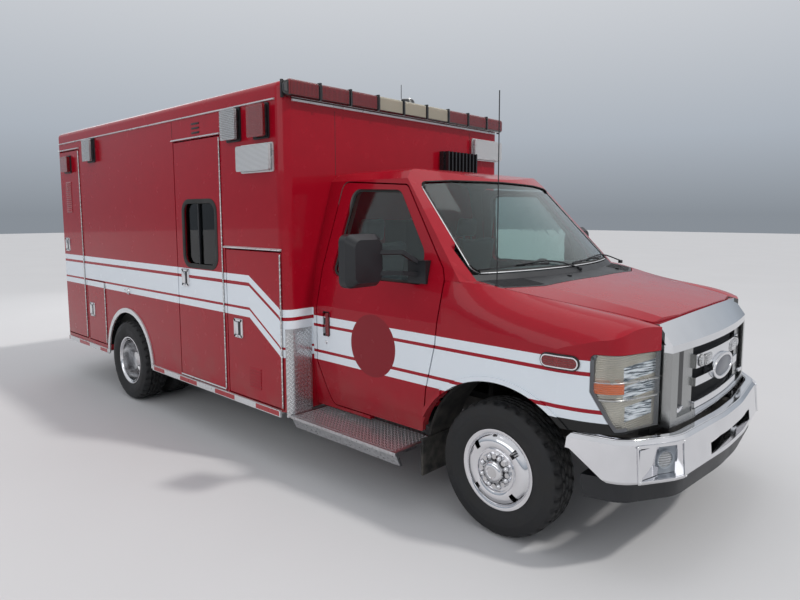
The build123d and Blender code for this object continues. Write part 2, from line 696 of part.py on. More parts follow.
with BuildPart() as cowl:
    add(shell.part)
    add(hood_zone, mode=Mode.SUBTRACT)
    add(screen_zone, mode=Mode.SUBTRACT)
    add(cowl_zone, mode=Mode.INTERSECT)
    block((ahead(-430), ahead(100)), (-FAR, FAR), (PILLAR_FOOT + 27, FAR), Mode.SUBTRACT)
save(cowl.part, "cowl")

# Cab doors: an outer layer that fills its opening, and a smaller inner layer behind it that
# swings clear of the opening's rim; the handle pull is a pocket with a flap
PULL_AHEAD, PULL_Z, PULL_W, PULL_H = -1388, 1008, 66, 165
DOOR_STEP = 22
DOOR_INNER_Y = 850
with BuildPart() as door_inner:
    add(FORM[DOOR_OUTER_T])
    add(FORM[CAB_DOOR_T], mode=Mode.SUBTRACT)
    add(side_prism(DOOR_OUTLINE, -DOOR_GAP - DOOR_STEP, CURB), mode=Mode.INTERSECT)
with BuildPart() as cab_door_right:
    add(FORM[0])
    add(FORM[DOOR_OUTER_T], mode=Mode.SUBTRACT)
    add(side_prism(DOOR_OUTLINE, -DOOR_GAP, CURB), mode=Mode.INTERSECT)
    add(door_inner.part)
    add(side_prism(WINDOW_OUTLINE, 0, CURB), mode=Mode.SUBTRACT)
    pull_plane = side_plane(-CAB_HALF_W, CURB).shift_origin((ahead(PULL_AHEAD), -CAB_HALF_W, PULL_Z))
    with BuildSketch(pull_plane):
        RectangleRounded(PULL_W, PULL_H, 14)
    extrude(amount=-CAB_DOOR_T / 3, mode=Mode.SUBTRACT)
    with BuildSketch(pull_plane):
        with Locations((0, PULL_H / 8)):
            Rectangle(PULL_W / 2, PULL_H / 2)
    extrude(amount=-CAB_DOOR_T / 3)
    # the form's bulkhead above the dashboard belongs to the body, not to the door
    block((ahead(-520), ahead(-300)), (-DOOR_INNER_Y, 0), (1290, 1480), Mode.SUBTRACT)
save(cab_door_right.part, "cab_door_right")
save(mirrored(cab_door_right.part), "cab_door_left")

with BuildPart() as cab_glass_right:
    add(FORM[PANE_DEEP])
    add(FORM[PANE_DEEP + GLASS_T], mode=Mode.SUBTRACT)
    add(side_prism(WINDOW_OUTLINE, -FITTED / 2, CURB), mode=Mode.INTERSECT)
save(cab_glass_right.part, "cab_glass_right")
save(mirrored(cab_glass_right.part), "cab_glass_left")

# Door mirrors: sail on the door's front corner, two arms and the head
MIRROR_AHEAD, MIRROR_Y, MIRROR_Z = -720, -1275, 1485
MIRROR_W, MIRROR_H, MIRROR_D, MIRROR_R = 268, 300, 105, 45
MIRROR_TAPER = 60
ARM_T = 24
with BuildPart() as mirror_right:
    block((ahead(-640), ahead(-500)), (10 - CAB_HALF_W, 60 - CAB_HALF_W), (1345, 1480))
    for foot_z, arm_z in ((1395, 1410), (1455, 1530)):
        with BuildLine() as arm_line:
            Polyline(
                (ahead(-560), 35 - CAB_HALF_W, foot_z),
                (ahead(-600), -CAB_HALF_W - 80, arm_z),
                (ahead(MIRROR_AHEAD), MIRROR_Y + 40, arm_z),
            )
        with BuildSketch(Plane(origin=arm_line.line @ 0, z_dir=arm_line.line % 0)):
            Rectangle(ARM_T, ARM_T)
        sweep(path=arm_line.line, transition=Transition.RIGHT)
    for depth, less in ((-MIRROR_D / 2, 0), (0, 0), (MIRROR_D / 2, MIRROR_TAPER)):
        with BuildSketch(Plane.YZ.offset(ahead(MIRROR_AHEAD) + depth)):
            with Locations((MIRROR_Y, MIRROR_Z)):
                RectangleRounded(MIRROR_W - less, MIRROR_H - less, MIRROR_R)
    loft(ruled=True)
    add(FORM[0], mode=Mode.SUBTRACT)
save(mirror_right.part, "mirror_right")
save(mirrored(mirror_right.part), "mirror_left")

# Grille: a bowed surround under a leaning header, two uprights, two bars and the oval boss
GRILLE_Z = (700, 1112)
GRILLE_HALF = 640
GRILLE_FRONT = (785, 834)  # ahead at its ends and in its middle
GRILLE_DEEP = 70
GRILLE_OPENING = (576, 742, 1074)  # half width, bottom, top
HEADER_TOP = (1210, 1230)  # height at its ends and in its middle
HEADER_LEAN = -0.726
HEADER_T = 34
UPRIGHT_Y = (375, 540)
UPRIGHT_BACK = 22
BAR_Z = ((862, 906), (955, 1028))
BOSS_Z, BOSS_W, BOSS_H = 912, 340, 140


def grille_slice(back, deep):
    """Plan face of the grille's bow, set back from its front by back."""
    ends, middle = ahead(GRILLE_FRONT[0]) - back, ahead(GRILLE_FRONT[1]) - back
    with BuildSketch() as face:
        with BuildLine():
            ThreePointArc((ends, -GRILLE_HALF), (middle, 0), (ends, GRILLE_HALF))
            Line((ends, GRILLE_HALF), (ends - deep, GRILLE_HALF))
            ThreePointArc((ends - deep, GRILLE_HALF), (middle - deep, 0), (ends - deep, -GRILLE_HALF))
            Line((ends - deep, -GRILLE_HALF), (ends, -GRILLE_HALF))
        make_face()
    return face.sketch


def grille_layer(back, deep, zone):
    """A bowed layer of the grille, kept inside a zone of half width and height spans."""
    with BuildPart() as layer:
        with BuildSketch(Plane.XY.offset(GRILLE_Z[0])):
            add(grille_slice(back, deep))
        extrude(amount=GRILLE_Z[1] - GRILLE_Z[0])
        with BuildSketch(Plane.YZ):
            for (y0, y1), (z0, z1) in zone:
                with Locations(((y0 + y1) / 2, (z0 + z1) / 2)):
                    Rectangle(y1 - y0, z1 - z0)
        extrude(amount=OVERALL, mode=Mode.INTERSECT)
    return layer.part


with BuildPart() as grille:
    with BuildSketch(Plane.XY.offset(GRILLE_Z[0])):
        add(grille_slice(0, GRILLE_DEEP))
    extrude(amount=GRILLE_Z[1] - GRILLE_Z[0])
    open_half, open_low, open_high = GRILLE_OPENING
    block((0, OVERALL), (-open_half, open_half), (open_low, open_high), Mode.SUBTRACT)
    uprights = [(span, (open_low, open_high)) for span in (UPRIGHT_Y, (-UPRIGHT_Y[1], -UPRIGHT_Y[0]))]
    add(grille_layer(UPRIGHT_BACK, 30, uprights))
    bars = [((-open_half, open_half), span) for span in BAR_Z]
    add(grille_layer(UPRIGHT_BACK + 12, 24, bars))
    bars = [((-UPRIGHT_Y[0], UPRIGHT_Y[0]), span) for span in BAR_Z]
    add(grille_layer(4, 40, bars))
    with BuildSketch(Plane.YZ.offset(ahead(GRILLE_FRONT[1]) - 44)):
        with Locations((0, BOSS_Z)):
            Ellipse(BOSS_W / 2, BOSS_H / 2)
    extrude(amount=50)
    with BuildSketch(Plane.YZ.offset(ahead(GRILLE_FRONT[1]) + 6)):
        with Locations((0, BOSS_Z)):
            Ellipse(BOSS_W / 2 - 18, BOSS_H / 2 - 18)
    extrude(amount=-6, mode=Mode.SUBTRACT)

with BuildPart() as header:
    with BuildSketch(Plane.XY.offset(GRILLE_Z[1])):
        add(grille_slice(0, HEADER_T))
    rise = HEADER_TOP[1] + 20 - GRILLE_Z[1]
    extrude(amount=rise * math.hypot(1, HEADER_LEAN), dir=(HEADER_LEAN, 0, 1))
    with BuildSketch(Plane.YZ):
        with BuildLine():
            ThreePointArc((-GRILLE_HALF, HEADER_TOP[0]), (0, HEADER_TOP[1]), (GRILLE_HALF, HEADER_TOP[0]))
            Polyline(
                (GRILLE_HALF, HEADER_TOP[0]),
                (GRILLE_HALF, GRILLE_Z[0]),
                (-GRILLE_HALF, GRILLE_Z[0]),
                (-GRILLE_HALF, HEADER_TOP[0]),
            )
        make_face()
    extrude(amount=OVERALL, mode=Mode.INTERSECT)

with BuildPart() as grille_whole:
    add(grille.part)
    add(header.part)
    add(plan_prism(HOOD_PLAN, 0, HOOD_LIP_LOW - 12, 1500), mode=Mode.SUBTRACT)
save(grille_whole.part, "grille")

with BuildPart() as radiator:
    block((ahead(600), ahead(655)), (-560, 560), (RAIL_TOP, GRILLE_Z[1]))
save(radiator.part, "radiator")

# Front bumper: plan outline swept down through four levels, with fog pockets and the air slot
BUMPER_LEVELS = [
    # height, grow of the plan outline
    (690, -14),
    (672, 0),
    (500, 16),
    (486, 6),
]
BUMPER_T = 55
VALANCE_Z = (385, 500)
VALANCE_IN = 14
FOG_POCKET = ((672, 880), (505, 655), 38)  # across, height, depth
AIR_SLOT = (365, (520, 590))


def bumper_plan(back, grow):
    """Half plan outline of the bumper, closed at a line this far ahead of the front axle."""
    front = FRONT_OVERHANG - BUMPER_LEVELS[2][1]
    points = [
        (back, 0, 0),
        (back, 1004, 0),
        (690, 950, 180),
        (862, 680, 300),
        (front, 150, 1500),
        (front, 0, 0),
    ]
    return outline([(ahead(x), y, r) for x, y, r in points], grow, Plane.XZ)


def bumper_solid(levels, back, shift=0):
    """The plan outline lofted through levels, grown by shift as well."""
    with BuildPart() as solid:
        for z, grow in levels:
            with BuildSketch(Plane.XY.offset(z)):
                add(bumper_plan(back, grow + shift))
        loft(ruled=True)
    return solid.part


with BuildPart() as fog_pockets:
    (y0, y1), fog_z, deep = FOG_POCKET
    for _, side in SIDES:
        block((ahead(600), ahead(1000)), (side * y0, side * y1), fog_z)
    add(bumper_solid([(690, 0), (486, 0)], 200, -deep), mode=Mode.SUBTRACT)

with BuildPart() as front_bumper:
    add(bumper_solid(BUMPER_LEVELS, 424))
    add(bumper_solid([(700, 0), (480, 0)], 200, -BUMPER_T), mode=Mode.SUBTRACT)
    add(fog_pockets.part, mode=Mode.SUBTRACT)
    slot_half, slot_z = AIR_SLOT
    block((ahead(700), ahead(1000)), (-slot_half, slot_half), slot_z, Mode.SUBTRACT)
    with BuildSketch(Plane.XZ):
        with BuildLine():
            Polyline((ahead(380), 470), (ahead(380), 625), (ahead(440), 618), (ahead(640), 470), close=True)
        make_face()
    extrude(amount=FAR, both=True, mode=Mode.SUBTRACT)
save(front_bumper.part, "front_bumper")

with BuildPart() as bumper_valance:
    add(bumper_solid([(VALANCE_Z[1], -VALANCE_IN), (VALANCE_Z[0], -VALANCE_IN - 10)], 480))
    inside = bumper_solid([(VALANCE_Z[1] + 1, 0), (VALANCE_Z[0] - 1, -10)], 200, -BUMPER_T - VALANCE_IN)
    add(inside, mode=Mode.SUBTRACT)
    add(front_bumper.part, mode=Mode.SUBTRACT)
save(bumper_valance.part, "bumper_valance")

# Cab inside: dashboard with the engine cover, seats, steering wheel
DASH_PROFILE = [
    # ahead, height, corner radius
    (FIREWALL[0], 900, 0),
    (FIREWALL[0], 1345, 0),
    (-430, 1360, 60),
    (-570, 1300, 40),
    (-600, 1020, 60),
    (-520, 900, 0),
]
DASH_HALF = 820
CLUSTER_Y = 470
with BuildPart() as dashboard:
    with BuildSketch(Plane.XZ):
        add(outline([(ahead(x), z, r) for x, z, r in DASH_PROFILE]))
    extrude(amount=DASH_HALF, both=True)
    block((ahead(FIREWALL[0]), ahead(-860)), (-300, 300), (CAB_FLOOR_TOP, 1010))
    fillet(dashboard.edges().filter_by(Axis.X).group_by(Axis.Z)[-1].filter_by(lambda e: e.length > 200), 40)
    block((ahead(-520), ahead(-400)), (CLUSTER_Y - 190, CLUSTER_Y + 190), (1330, 1385))
    with Locations(Location((ahead(-600), CLUSTER_Y, 1200), (0, -65, 0))):
        Cylinder(38, 90)
    add(FORM[LAMP_DEPTH], mode=Mode.INTERSECT)
save(dashboard.part, "dashboard")

SEAT_Y, SEAT_W = 560, 490
SEAT_PROFILE = [
    # ahead, height, corner radius
    (-800, 830, 40),
    (-800, 985, 60),
    (-1230, 955, 50),
    (-1330, 1500, 30),
    (-1325, 1720, 40),
    (-1425, 1730, 40),
    (-1440, 1480, 0),
    (-1400, 830, 40),
]
with BuildPart() as cab_seats:
    for y in (-SEAT_Y, SEAT_Y):
        with BuildSketch(Plane.XZ.offset(-y)):
            add(outline([(ahead(x), z, r) for x, z, r in SEAT_PROFILE]))
        extrude(amount=SEAT_W / 2, both=True)
        for side in (-1, 1):
            # the head restraint is narrower than the back
            block(
                (ahead(-1480), ahead(-1250)),
                (y + side * SEAT_W / 4, y + side * SEAT_W),
                (1540, 1800),
                Mode.SUBTRACT,
            )
        block((ahead(-1330), ahead(-900)), (y - 170, y + 170), (CAB_FLOOR_TOP, 835))
save(cab_seats.part, "cab_seats")

STEERING_AHEAD, STEERING_Z = -680, 1235
STEERING_TILT = 62
STEERING_R, STEERING_T = 185, 28
with BuildPart() as steering_wheel:
    tilt = math.radians(STEERING_TILT)
    rim_plane = Plane(
        origin=(ahead(STEERING_AHEAD), CLUSTER_Y, STEERING_Z),
        x_dir=(0, 1, 0),
        z_dir=(-math.sin(tilt), 0, math.cos(tilt)),
    )
    with BuildSketch(Plane(origin=rim_plane.origin, x_dir=(0, 1, 0), z_dir=rim_plane.y_dir)):
        with Locations((STEERING_R, 0)):
            RegularPolygon(STEERING_T / 2, 8)
    revolve(axis=Axis(rim_plane.origin, rim_plane.z_dir))
    with BuildSketch(rim_plane.offset(-STEERING_T / 2)):
        RectangleRounded(110, 90, 25)
    extrude(amount=STEERING_T + 8)
    with BuildSketch(rim_plane.offset(-STEERING_T / 4)):
        Rectangle(2 * STEERING_R - STEERING_T / 2, 34)
    extrude(amount=STEERING_T / 2)
save(steering_wheel.part, "steering_wheel")

# Chassis: rails, crossmembers and the outriggers that carry the module's floor
CROSSMEMBERS = (640, -450, -1500, -2750, -3350, -4690, -5545)
OUTRIGGERS = (-1660, -2250, -2900, -4560, -5100, -5560)
HORN_Z = (520, 600)
with BuildPart() as chassis_frame:
    for y in (-RAIL_Y, RAIL_Y):
        block(
            (MODULE_REAR + WALL + 5, ahead(700)),
            (y - RAIL_W / 2, y + RAIL_W / 2),
            (RAIL_TOP - RAIL_H, RAIL_TOP),
        )
    for x in CROSSMEMBERS:
        block((ahead(x) - 40, ahead(x) + 40), (-RAIL_Y, RAIL_Y), (RAIL_TOP - 110, RAIL_TOP - 10))
    for _, side in SIDES:
        for x in OUTRIGGERS:
            block(
                (ahead(x) - 35, ahead(x) + 35),
                (side * RAIL_Y, side * UNDER_HALF),
                (RAIL_TOP, FLOOR_TOP - FLOOR_T),
            )
        # horns that carry the bumper
        block((ahead(640), ahead(820)), (side * (RAIL_Y - RAIL_W / 2), side * (RAIL_Y + RAIL_W / 2)), HORN_Z)
    add(front_bumper.part, mode=Mode.SUBTRACT)
save(chassis_frame.part, "chassis_frame")

with BuildPart() as engine_block:
    block((ahead(-270), ahead(430)), (-290, 290), (450, 1120))
save(engine_block.part, "engine_block")

# Axles: two crossing front beams, and the rear axle on its leaf springs
BEAM_STAGGER, BEAM_T = 55, 56
SPRING_Y = (470, 545)
SPRING_HALF = 620
with BuildPart() as axles:
    for _, side in SIDES:
        x = AXLE_F + side * BEAM_STAGGER
        block((x - BEAM_T / 2, x + BEAM_T / 2), (side * -330, side * (KINGPIN_Y - 30)), (300, 380))
        block((x - BEAM_T / 2, x + BEAM_T / 2), (side * -330, side * -390), (340, RAIL_TOP - RAIL_H + 10))
        with Locations((AXLE_F, side * KINGPIN_Y, TYRE_R)):
            Cylinder(38, 110)
        block((x, AXLE_F), (side * (KINGPIN_Y - 60), side * (KINGPIN_Y - 10)), (330, 380))
    with Locations(Location((AXLE_R, 0, TYRE_R), (90, 0, 0))):
        Cylinder(48, 2 * 1010)
        Cylinder(150, 190)
    for _, side in SIDES:
        y_span = (side * SPRING_Y[0], side * SPRING_Y[1])
        with BuildSketch(Plane.XZ.offset(-side * SPRING_Y[0])):
            with BuildLine():
                ends_z, low_z = TYRE_R + 128, TYRE_R + 44
                back_x, front_x = AXLE_R - SPRING_HALF, AXLE_R + SPRING_HALF
                top = ThreePointArc((back_x, ends_z + 24), (AXLE_R, low_z + 60), (front_x, ends_z + 24))
                low = ThreePointArc((back_x, ends_z), (AXLE_R, low_z), (front_x, ends_z))
                Line(top @ 0, low @ 0)
                Line(top @ 1, low @ 1)
            make_face()
        extrude(amount=-side * (SPRING_Y[1] - SPRING_Y[0]))
        for end in (-1, 1):
            x_in, x_out = AXLE_R + end * (SPRING_HALF - 20), AXLE_R + end * (SPRING_HALF + 30)
            block((x_in, x_out), (side * (RAIL_Y + RAIL_W / 2), y_span[1]), (TYRE_R + 120, RAIL_TOP - 20))
        block((AXLE_R - 70, AXLE_R + 70), y_span, (TYRE_R - 60, TYRE_R + 50))
save(axles.part, "axles")

# Gearbox, propeller shaft, fuel tank and silencer
with BuildPart() as driveline:
    block((ahead(-330), ahead(-1050)), (-170, 170), (340, 488))
    shaft_x = (AXLE_R + 155, ahead(-1050))
    with Locations(Location((sum(shaft_x) / 2, 0, 400), (0, 90, 0))):
        Cylinder(45, shaft_x[1] - shaft_x[0])
    block((AXLE_R - 745, AXLE_R - 1450), (-360, 360), (330, 585))
    with Locations(Location((ahead(-2300), -280, 400), (0, 90, 0))):
        Cylinder(80, 700)
save(driveline.part, "driveline")

# Wheels and knuckles, turned about their axles
TYRE_SECTION = [
    # radius, distance in from the sidewall
    (RIM_R, 38),
    (RIM_FLANGE_R + 2, 26),
    (285, 0),
    (340, 6),
    (TYRE_R - 8, 24),
    (TYRE_R, 50),
]
FRONT_RIM = [
    # radius, distance out from the tyre's middle
    (34, -25),
    (150, -20),
    (170, 0),
    (RIM_R - 12, -60),
    (RIM_FLANGE_R, -92),
    (RIM_FLANGE_R, -86),
    (RIM_R, -74),
    (RIM_R, 74),
    (RIM_FLANGE_R, 86),
    (RIM_FLANGE_R, 92),
    (RIM_R - 12, 80),
    (RIM_R - 22, 58),
    (160, 68),
    (112, 100),
    (66, 104),
    (58, 132),
    (40, 140),
    (0, 140),
    (0, 90),
    (34, 90),
]
REAR_RIM = [
    # radius, distance out from the tyre's middle
    (52, 75),
    (120, 75),
    (135, 60),
    (RIM_R - 14, 40),
    (RIM_R - 12, -80),
    (RIM_FLANGE_R, -92),
    (RIM_FLANGE_R, -86),
    (RIM_R, -74),
    (RIM_R, 74),
    (RIM_FLANGE_R, 86),
    (RIM_FLANGE_R, 92),
    (RIM_R - 14, 80),
    (RIM_R - 26, 62),
    (150, 82),
    (120, 98),
    (52, 98),
]
REAR_HUB = [
    # radius, distance out from the inner tyre's middle
    (52, 60),
    (100, 60),
    (100, 200),
    (78, 300),
    (66, 322),
    (0, 330),
    (0, 300),
    (52, 300),
]
HAND_HOLES, HAND_HOLE_CIRCLE_R, HAND_HOLE_R = 4, 141, 21
LUGS, LUG_R, LUG_OUT = 8, 15, 26


def turned(x, y, side, section):
    """A ring turned about a wheel's axis from a table of radius and distance outwards."""
    with BuildPart() as ring:
        with BuildSketch(Plane.XY.offset(TYRE_R)):
            with BuildLine():
                Polyline([(x + r, y + side * out) for r, out in section], close=True)
            make_face()
        revolve(axis=Axis((x, y, TYRE_R), (0, 1, 0)))
    return ring.part


def tyre(x, y):
    """A tyre standing on the ground."""
    half = [(r, TYRE_W / 2 - d) for r, d in TYRE_SECTION]
    return turned(x, y, 1, half + [(r, -out) for r, out in reversed(half)])


def wheel_face(x, y, side, out, rim):
    """A rim with its hand holes cut through and its lug nuts on, at this distance out."""
    with BuildPart() as wheel:
        add(rim)
        face = side_plane(y + side * out, side).shift_origin((x, y + side * out, TYRE_R))
        with BuildSketch(face):
            with PolarLocations(HAND_HOLE_CIRCLE_R, HAND_HOLES, start_angle=45):
                Circle(HAND_HOLE_R)
        extrude(amount=60, both=True, mode=Mode.SUBTRACT)
        with BuildSketch(face):
            with PolarLocations(LUG_CIRCLE_R, LUGS):
                RegularPolygon(LUG_R, 6)
        extrude(amount=LUG_OUT)
    return wheel.part


for name, side in SIDES:
    y = side * FRONT_TRACK / 2
    save(tyre(AXLE_F, y), f"tyre_front_{name}")
    rim = wheel_face(AXLE_F, y, side, 95, turned(AXLE_F, y, side, FRONT_RIM))
    save(rim, f"rim_front_{name}")
    with BuildPart() as knuckle:
        pin_y = side * KINGPIN_Y
        for z in (TYRE_R - 82, TYRE_R + 82):
            with Locations((AXLE_F, pin_y, z)):
                Cylinder(36, 40)
        yoke_x = (AXLE_F - 34, AXLE_F + 34)
        block(yoke_x, (pin_y + side * 44, pin_y + side * 74), (TYRE_R - 102, TYRE_R + 102))
        for z in (TYRE_R - 102, TYRE_R + 62):
            block(yoke_x, (pin_y, pin_y + side * 60), (z, z + 40))
        with Locations(Location((AXLE_F, pin_y + side * 105, TYRE_R), (90, 0, 0))):
            Cylinder(30, 80)
        with Locations(Location((AXLE_F, pin_y + side * 62, TYRE_R), (90, 0, 0))):
            Cylinder(125, 18)
    save(knuckle.part, f"knuckle_{name}")

for name, side in SIDES:
    inner_y = side * (REAR_TRACK / 2 - DUAL_SPACING / 2)
    outer_y = side * (REAR_TRACK / 2 + DUAL_SPACING / 2)
    with BuildPart() as tyres:
        add(tyre(AXLE_R, inner_y))
        add(tyre(AXLE_R, outer_y))
    save(tyres.part, f"tyres_rear_{name}")
    with BuildPart() as rims:
        add(turned(AXLE_R, inner_y, side, REAR_RIM))
        add(turned(AXLE_R, outer_y, -side, REAR_RIM))
        add(turned(AXLE_R, inner_y, side, REAR_HUB))
    rim = wheel_face(AXLE_R, outer_y, side, -75, rims.part)
    save(rim, f"rims_rear_{name}")

# Inside the patient room: cabinets on the street side, a bench on the curb side
LINING = INNER_HALF_W - FITTED
with BuildPart() as patient_interior:
    block((ahead(-2280), ahead(-4980)), (LINING, LINING - 420), (WELL_TOP + 2 * LINER, 1080))
    block((ahead(-2280), ahead(-4980)), (LINING, LINING - 380), (1780, 2480))
    block((ahead(-3080), ahead(-4500)), (-LINING, 560 - LINING), (WELL_TOP + 2 * LINER, 1230))
    block((ahead(-2280), ahead(-2700)), (LINING, LINING - 420), (FLOOR_TOP, 1080))
    block((ahead(-3080), ahead(-3400)), (-LINING, 560 - LINING), (FLOOR_TOP, 1230))
save(patient_interior.part, "patient_interior")

# Light bar along the top of the module's front, in nine lamps parted by ribs
BAR_HEIGHTS = (2500, 2612)
BAR_OUT = 62
BAR_LAMPS = 9
RIB_W, RIB_OUT = 14, 6
with BuildPart() as light_bar:
    block((MODULE_FRONT, MODULE_FRONT + BAR_OUT), (-HALF_W, HALF_W), BAR_HEIGHTS)
    fillet(light_bar.edges().filter_by(Axis.Y).group_by(Axis.X)[-1], 18)
    fillet(light_bar.edges().filter_by(Axis.Z).group_by(Axis.X)[-1], 40)
    for number in range(1, BAR_LAMPS):
        y = -HALF_W + number * MODULE_W / BAR_LAMPS
        block(
            (MODULE_FRONT, MODULE_FRONT + BAR_OUT + RIB_OUT),
            (y - RIB_W / 2, y + RIB_W / 2),
            (BAR_HEIGHTS[0], BAR_HEIGHTS[1] + 4),
        )
save(light_bar.part, "light_bar")

# Lamps on the module's walls: side, behind the front axle, height, width, tall, stand-off
SIDE_LAMPS = [
    (CURB, 2100, 2370, 180, 230, 55),
    (CURB, 1760, 2365, 180, 230, 55),
    (CURB, 1820, 2125, 380, 190, 45),
    (CURB, 4693, 2372, 180, 230, 55),
    (STREET, 1990, 2420, 180, 130, 45),
    (STREET, 3300, 2240, 380, 190, 45),
    (STREET, 4693, 2378, 180, 180, 45),
    (STREET, 5345, 2420, 180, 130, 45),
]
REAR_LAMPS = [
    # across, height, width, tall, stand-off
    (1025, 2400, 230, 130, 45),
    (900, 1500, 130, 180, 40),
    (860, 640, 160, 120, 30),
    (1050, 640, 160, 120, 30),
]
FRONT_LAMPS = [
    # across, height, width, tall, stand-off
    (1006, 2324, 400, 186, 45),
]
FIN_LAMP = (581, 2185, 432, 170, 85)  # across, height, width, tall, stand-off
FINS = 9
DOME = (-1660, 100, 75, 62)  # ahead, across, radius, height
front_plane = Plane(origin=(MODULE_FRONT, 0, 0), x_dir=(0, 1, 0), z_dir=(1, 0, 0))
with BuildPart() as module_lamps:
    for side, behind, up, wide, tall, out in SIDE_LAMPS:
        wall = side_plane(side * HALF_W, side)
        add(box_lamp(wall.shift_origin((ahead(-behind), side * HALF_W, up)), wide, tall, out))
    for across, up, wide, tall, out in REAR_LAMPS:
        for _, side in SIDES:
            add(box_lamp(rear_plane.shift_origin((MODULE_REAR, side * across, up)), wide, tall, out))
    for across, up, wide, tall, out in FRONT_LAMPS:
        add(box_lamp(front_plane.shift_origin((MODULE_FRONT, across, up)), wide, tall, out))
    across, up, wide, tall, out = FIN_LAMP
    block(
        (MODULE_FRONT, MODULE_FRONT + out / 2),
        (across - wide / 2, across + wide / 2),
        (up - tall / 2, up + tall / 2),
    )
    for number in range(FINS):
        y = across - wide / 2 + (number + 0.5) * wide / FINS
        block((MODULE_FRONT, MODULE_FRONT + out), (y - 8, y + 8), (up - tall / 2, up + tall / 2))
    dome_ahead, dome_y, dome_r, dome_h = DOME
    with Locations((ahead(dome_ahead), dome_y, MODULE_TOP + dome_h / 2)):
        Cone(dome_r, dome_r * 0.7, dome_h)
save(module_lamps.part, "module_lamps")

# Bright trim: drip rails, rub rails and the rings round the rear arches
DRIP_Z = 2490
DRIP_OUT, DRIP_H = 14, 14
RUB_RAIL_Z = (362, 408)
RUB_RAIL_OUT = 14
rail_reach = (MODULE_FRONT - MODULE_CORNER_R, MODULE_REAR + MODULE_CORNER_R)
DRIPS = [(side, rail_reach, DRIP_Z) for _, side in SIDES] + [
    (side, (front + DOOR_GAP, front - width - DOOR_GAP), high + 3)
    for name, side, front, width, low, high, depth in SIDE_DOORS
    if name != "curb_low_door"
]
with BuildPart() as bright_trim:
    for side, x_span, z in DRIPS:
        with BuildSketch(Plane.YZ.offset(min(x_span))):
            with BuildLine():
                Polyline(
                    (side * HALF_W, z),
                    (side * (HALF_W + DRIP_OUT), z),
                    (side * (HALF_W + DRIP_OUT), z + DRIP_H / 2),
                    (side * HALF_W, z + DRIP_H),
                    close=True,
                )
            make_face()
        extrude(amount=abs(x_span[0] - x_span[1]))
    block(
        (MODULE_FRONT, MODULE_FRONT + DRIP_OUT),
        (MODULE_CORNER_R - HALF_W, HALF_W - MODULE_CORNER_R),
        (DRIP_Z - 8, DRIP_Z + 6),
    )
    arch_ends = (AXLE_R + ARCH_R + 30, AXLE_R - ARCH_R - 30)
    for _, side in SIDES:
        for x_span in ((rail_reach[0], arch_ends[0]), (arch_ends[1], rail_reach[1])):
            block(x_span, (side * HALF_W, side * (HALF_W + RUB_RAIL_OUT)), RUB_RAIL_Z)
            block(x_span, (side * HALF_W, side * (HALF_W - 40)), (MODULE_BOTTOM - 15, MODULE_BOTTOM))
        with BuildSketch(side_plane(side * HALF_W, side).shift_origin((AXLE_R, side * HALF_W, TYRE_R))):
            Circle(ARCH_R + ARCH_RING_W)
            Circle(ARCH_R, mode=Mode.SUBTRACT)
            Rectangle(3 * ARCH_R, 3 * ARCH_R, align=(Align.CENTER, Align.MAX), mode=Mode.SUBTRACT)
        extrude(amount=ARCH_RING_T)
save(bright_trim.part, "bright_trim")

# Tread plate: corner guards, running boards under the cab doors, and the rear step
BOARD_Y = (1014, 1200)
BOARD_Z = (365, 385)
GUARD_Z = (350, 975)
STEP_Z = (440, 520)
STEP_HALF = 1100
PLATE_T = 4
with BuildPart() as tread_plate:
    for _, side in SIDES:
        board_x = (MODULE_FRONT + 3, ahead(-545))
        guard_y = (side * BOARD_Y[0], side * (HALF_W - MODULE_CORNER_R))
        block((MODULE_FRONT, MODULE_FRONT + PLATE_T), guard_y, GUARD_Z)
        block(board_x, (side * 850, side * BOARD_Y[1]), BOARD_Z)
        with BuildSketch(Plane.YZ.offset(board_x[0])):
            with BuildLine():
                Polyline(
                    (side * BOARD_Y[1], BOARD_Z[1]),
                    (side * (BOARD_Y[1] - 20), BOARD_Z[1]),
                    (side * (BOARD_Y[1] - 60), BOARD_Z[0] - 70),
                    (side * (BOARD_Y[1] - 40), BOARD_Z[0] - 70),
                    close=True,
                )
            make_face()
        extrude(amount=board_x[1] - board_x[0])
    block((MODULE_REAR, MODULE_REAR - REAR_STEP), (-STEP_HALF, STEP_HALF), STEP_Z)
    kick_y = (MODULE_CORNER_R - HALF_W, HALF_W - MODULE_CORNER_R)
    block((MODULE_REAR, MODULE_REAR - PLATE_T), kick_y, (STEP_Z[1], 560))
save(tread_plate.part, "tread_plate")

# Black liners over the front wheels, and flaps behind the rear ones
LINER_T = 14
FLAP_T, FLAP_Z, FLAP_Y = 10, (170, 600), (740, 1160)
with BuildPart() as splash_guards:
    add(arch_prism(FRONT_ARCH_R + LINER_T, 600, 880))
    add(arch_prism(FRONT_ARCH_R, 600, 880), mode=Mode.SUBTRACT)
    block((-OVERALL, OVERALL), (-FAR, FAR), (-FAR, FRONT_ARCH_Z + 100), Mode.SUBTRACT)
    block((ahead(380), OVERALL), (-FAR, FAR), (0, LAMP_Z[0] + 1), Mode.SUBTRACT)
    for _, side in SIDES:
        x = AXLE_R - ARCH_R - 15
        block((x - FLAP_T, x), (side * FLAP_Y[0], side * FLAP_Y[1]), FLAP_Z)
save(splash_guards.part, "splash_guards")

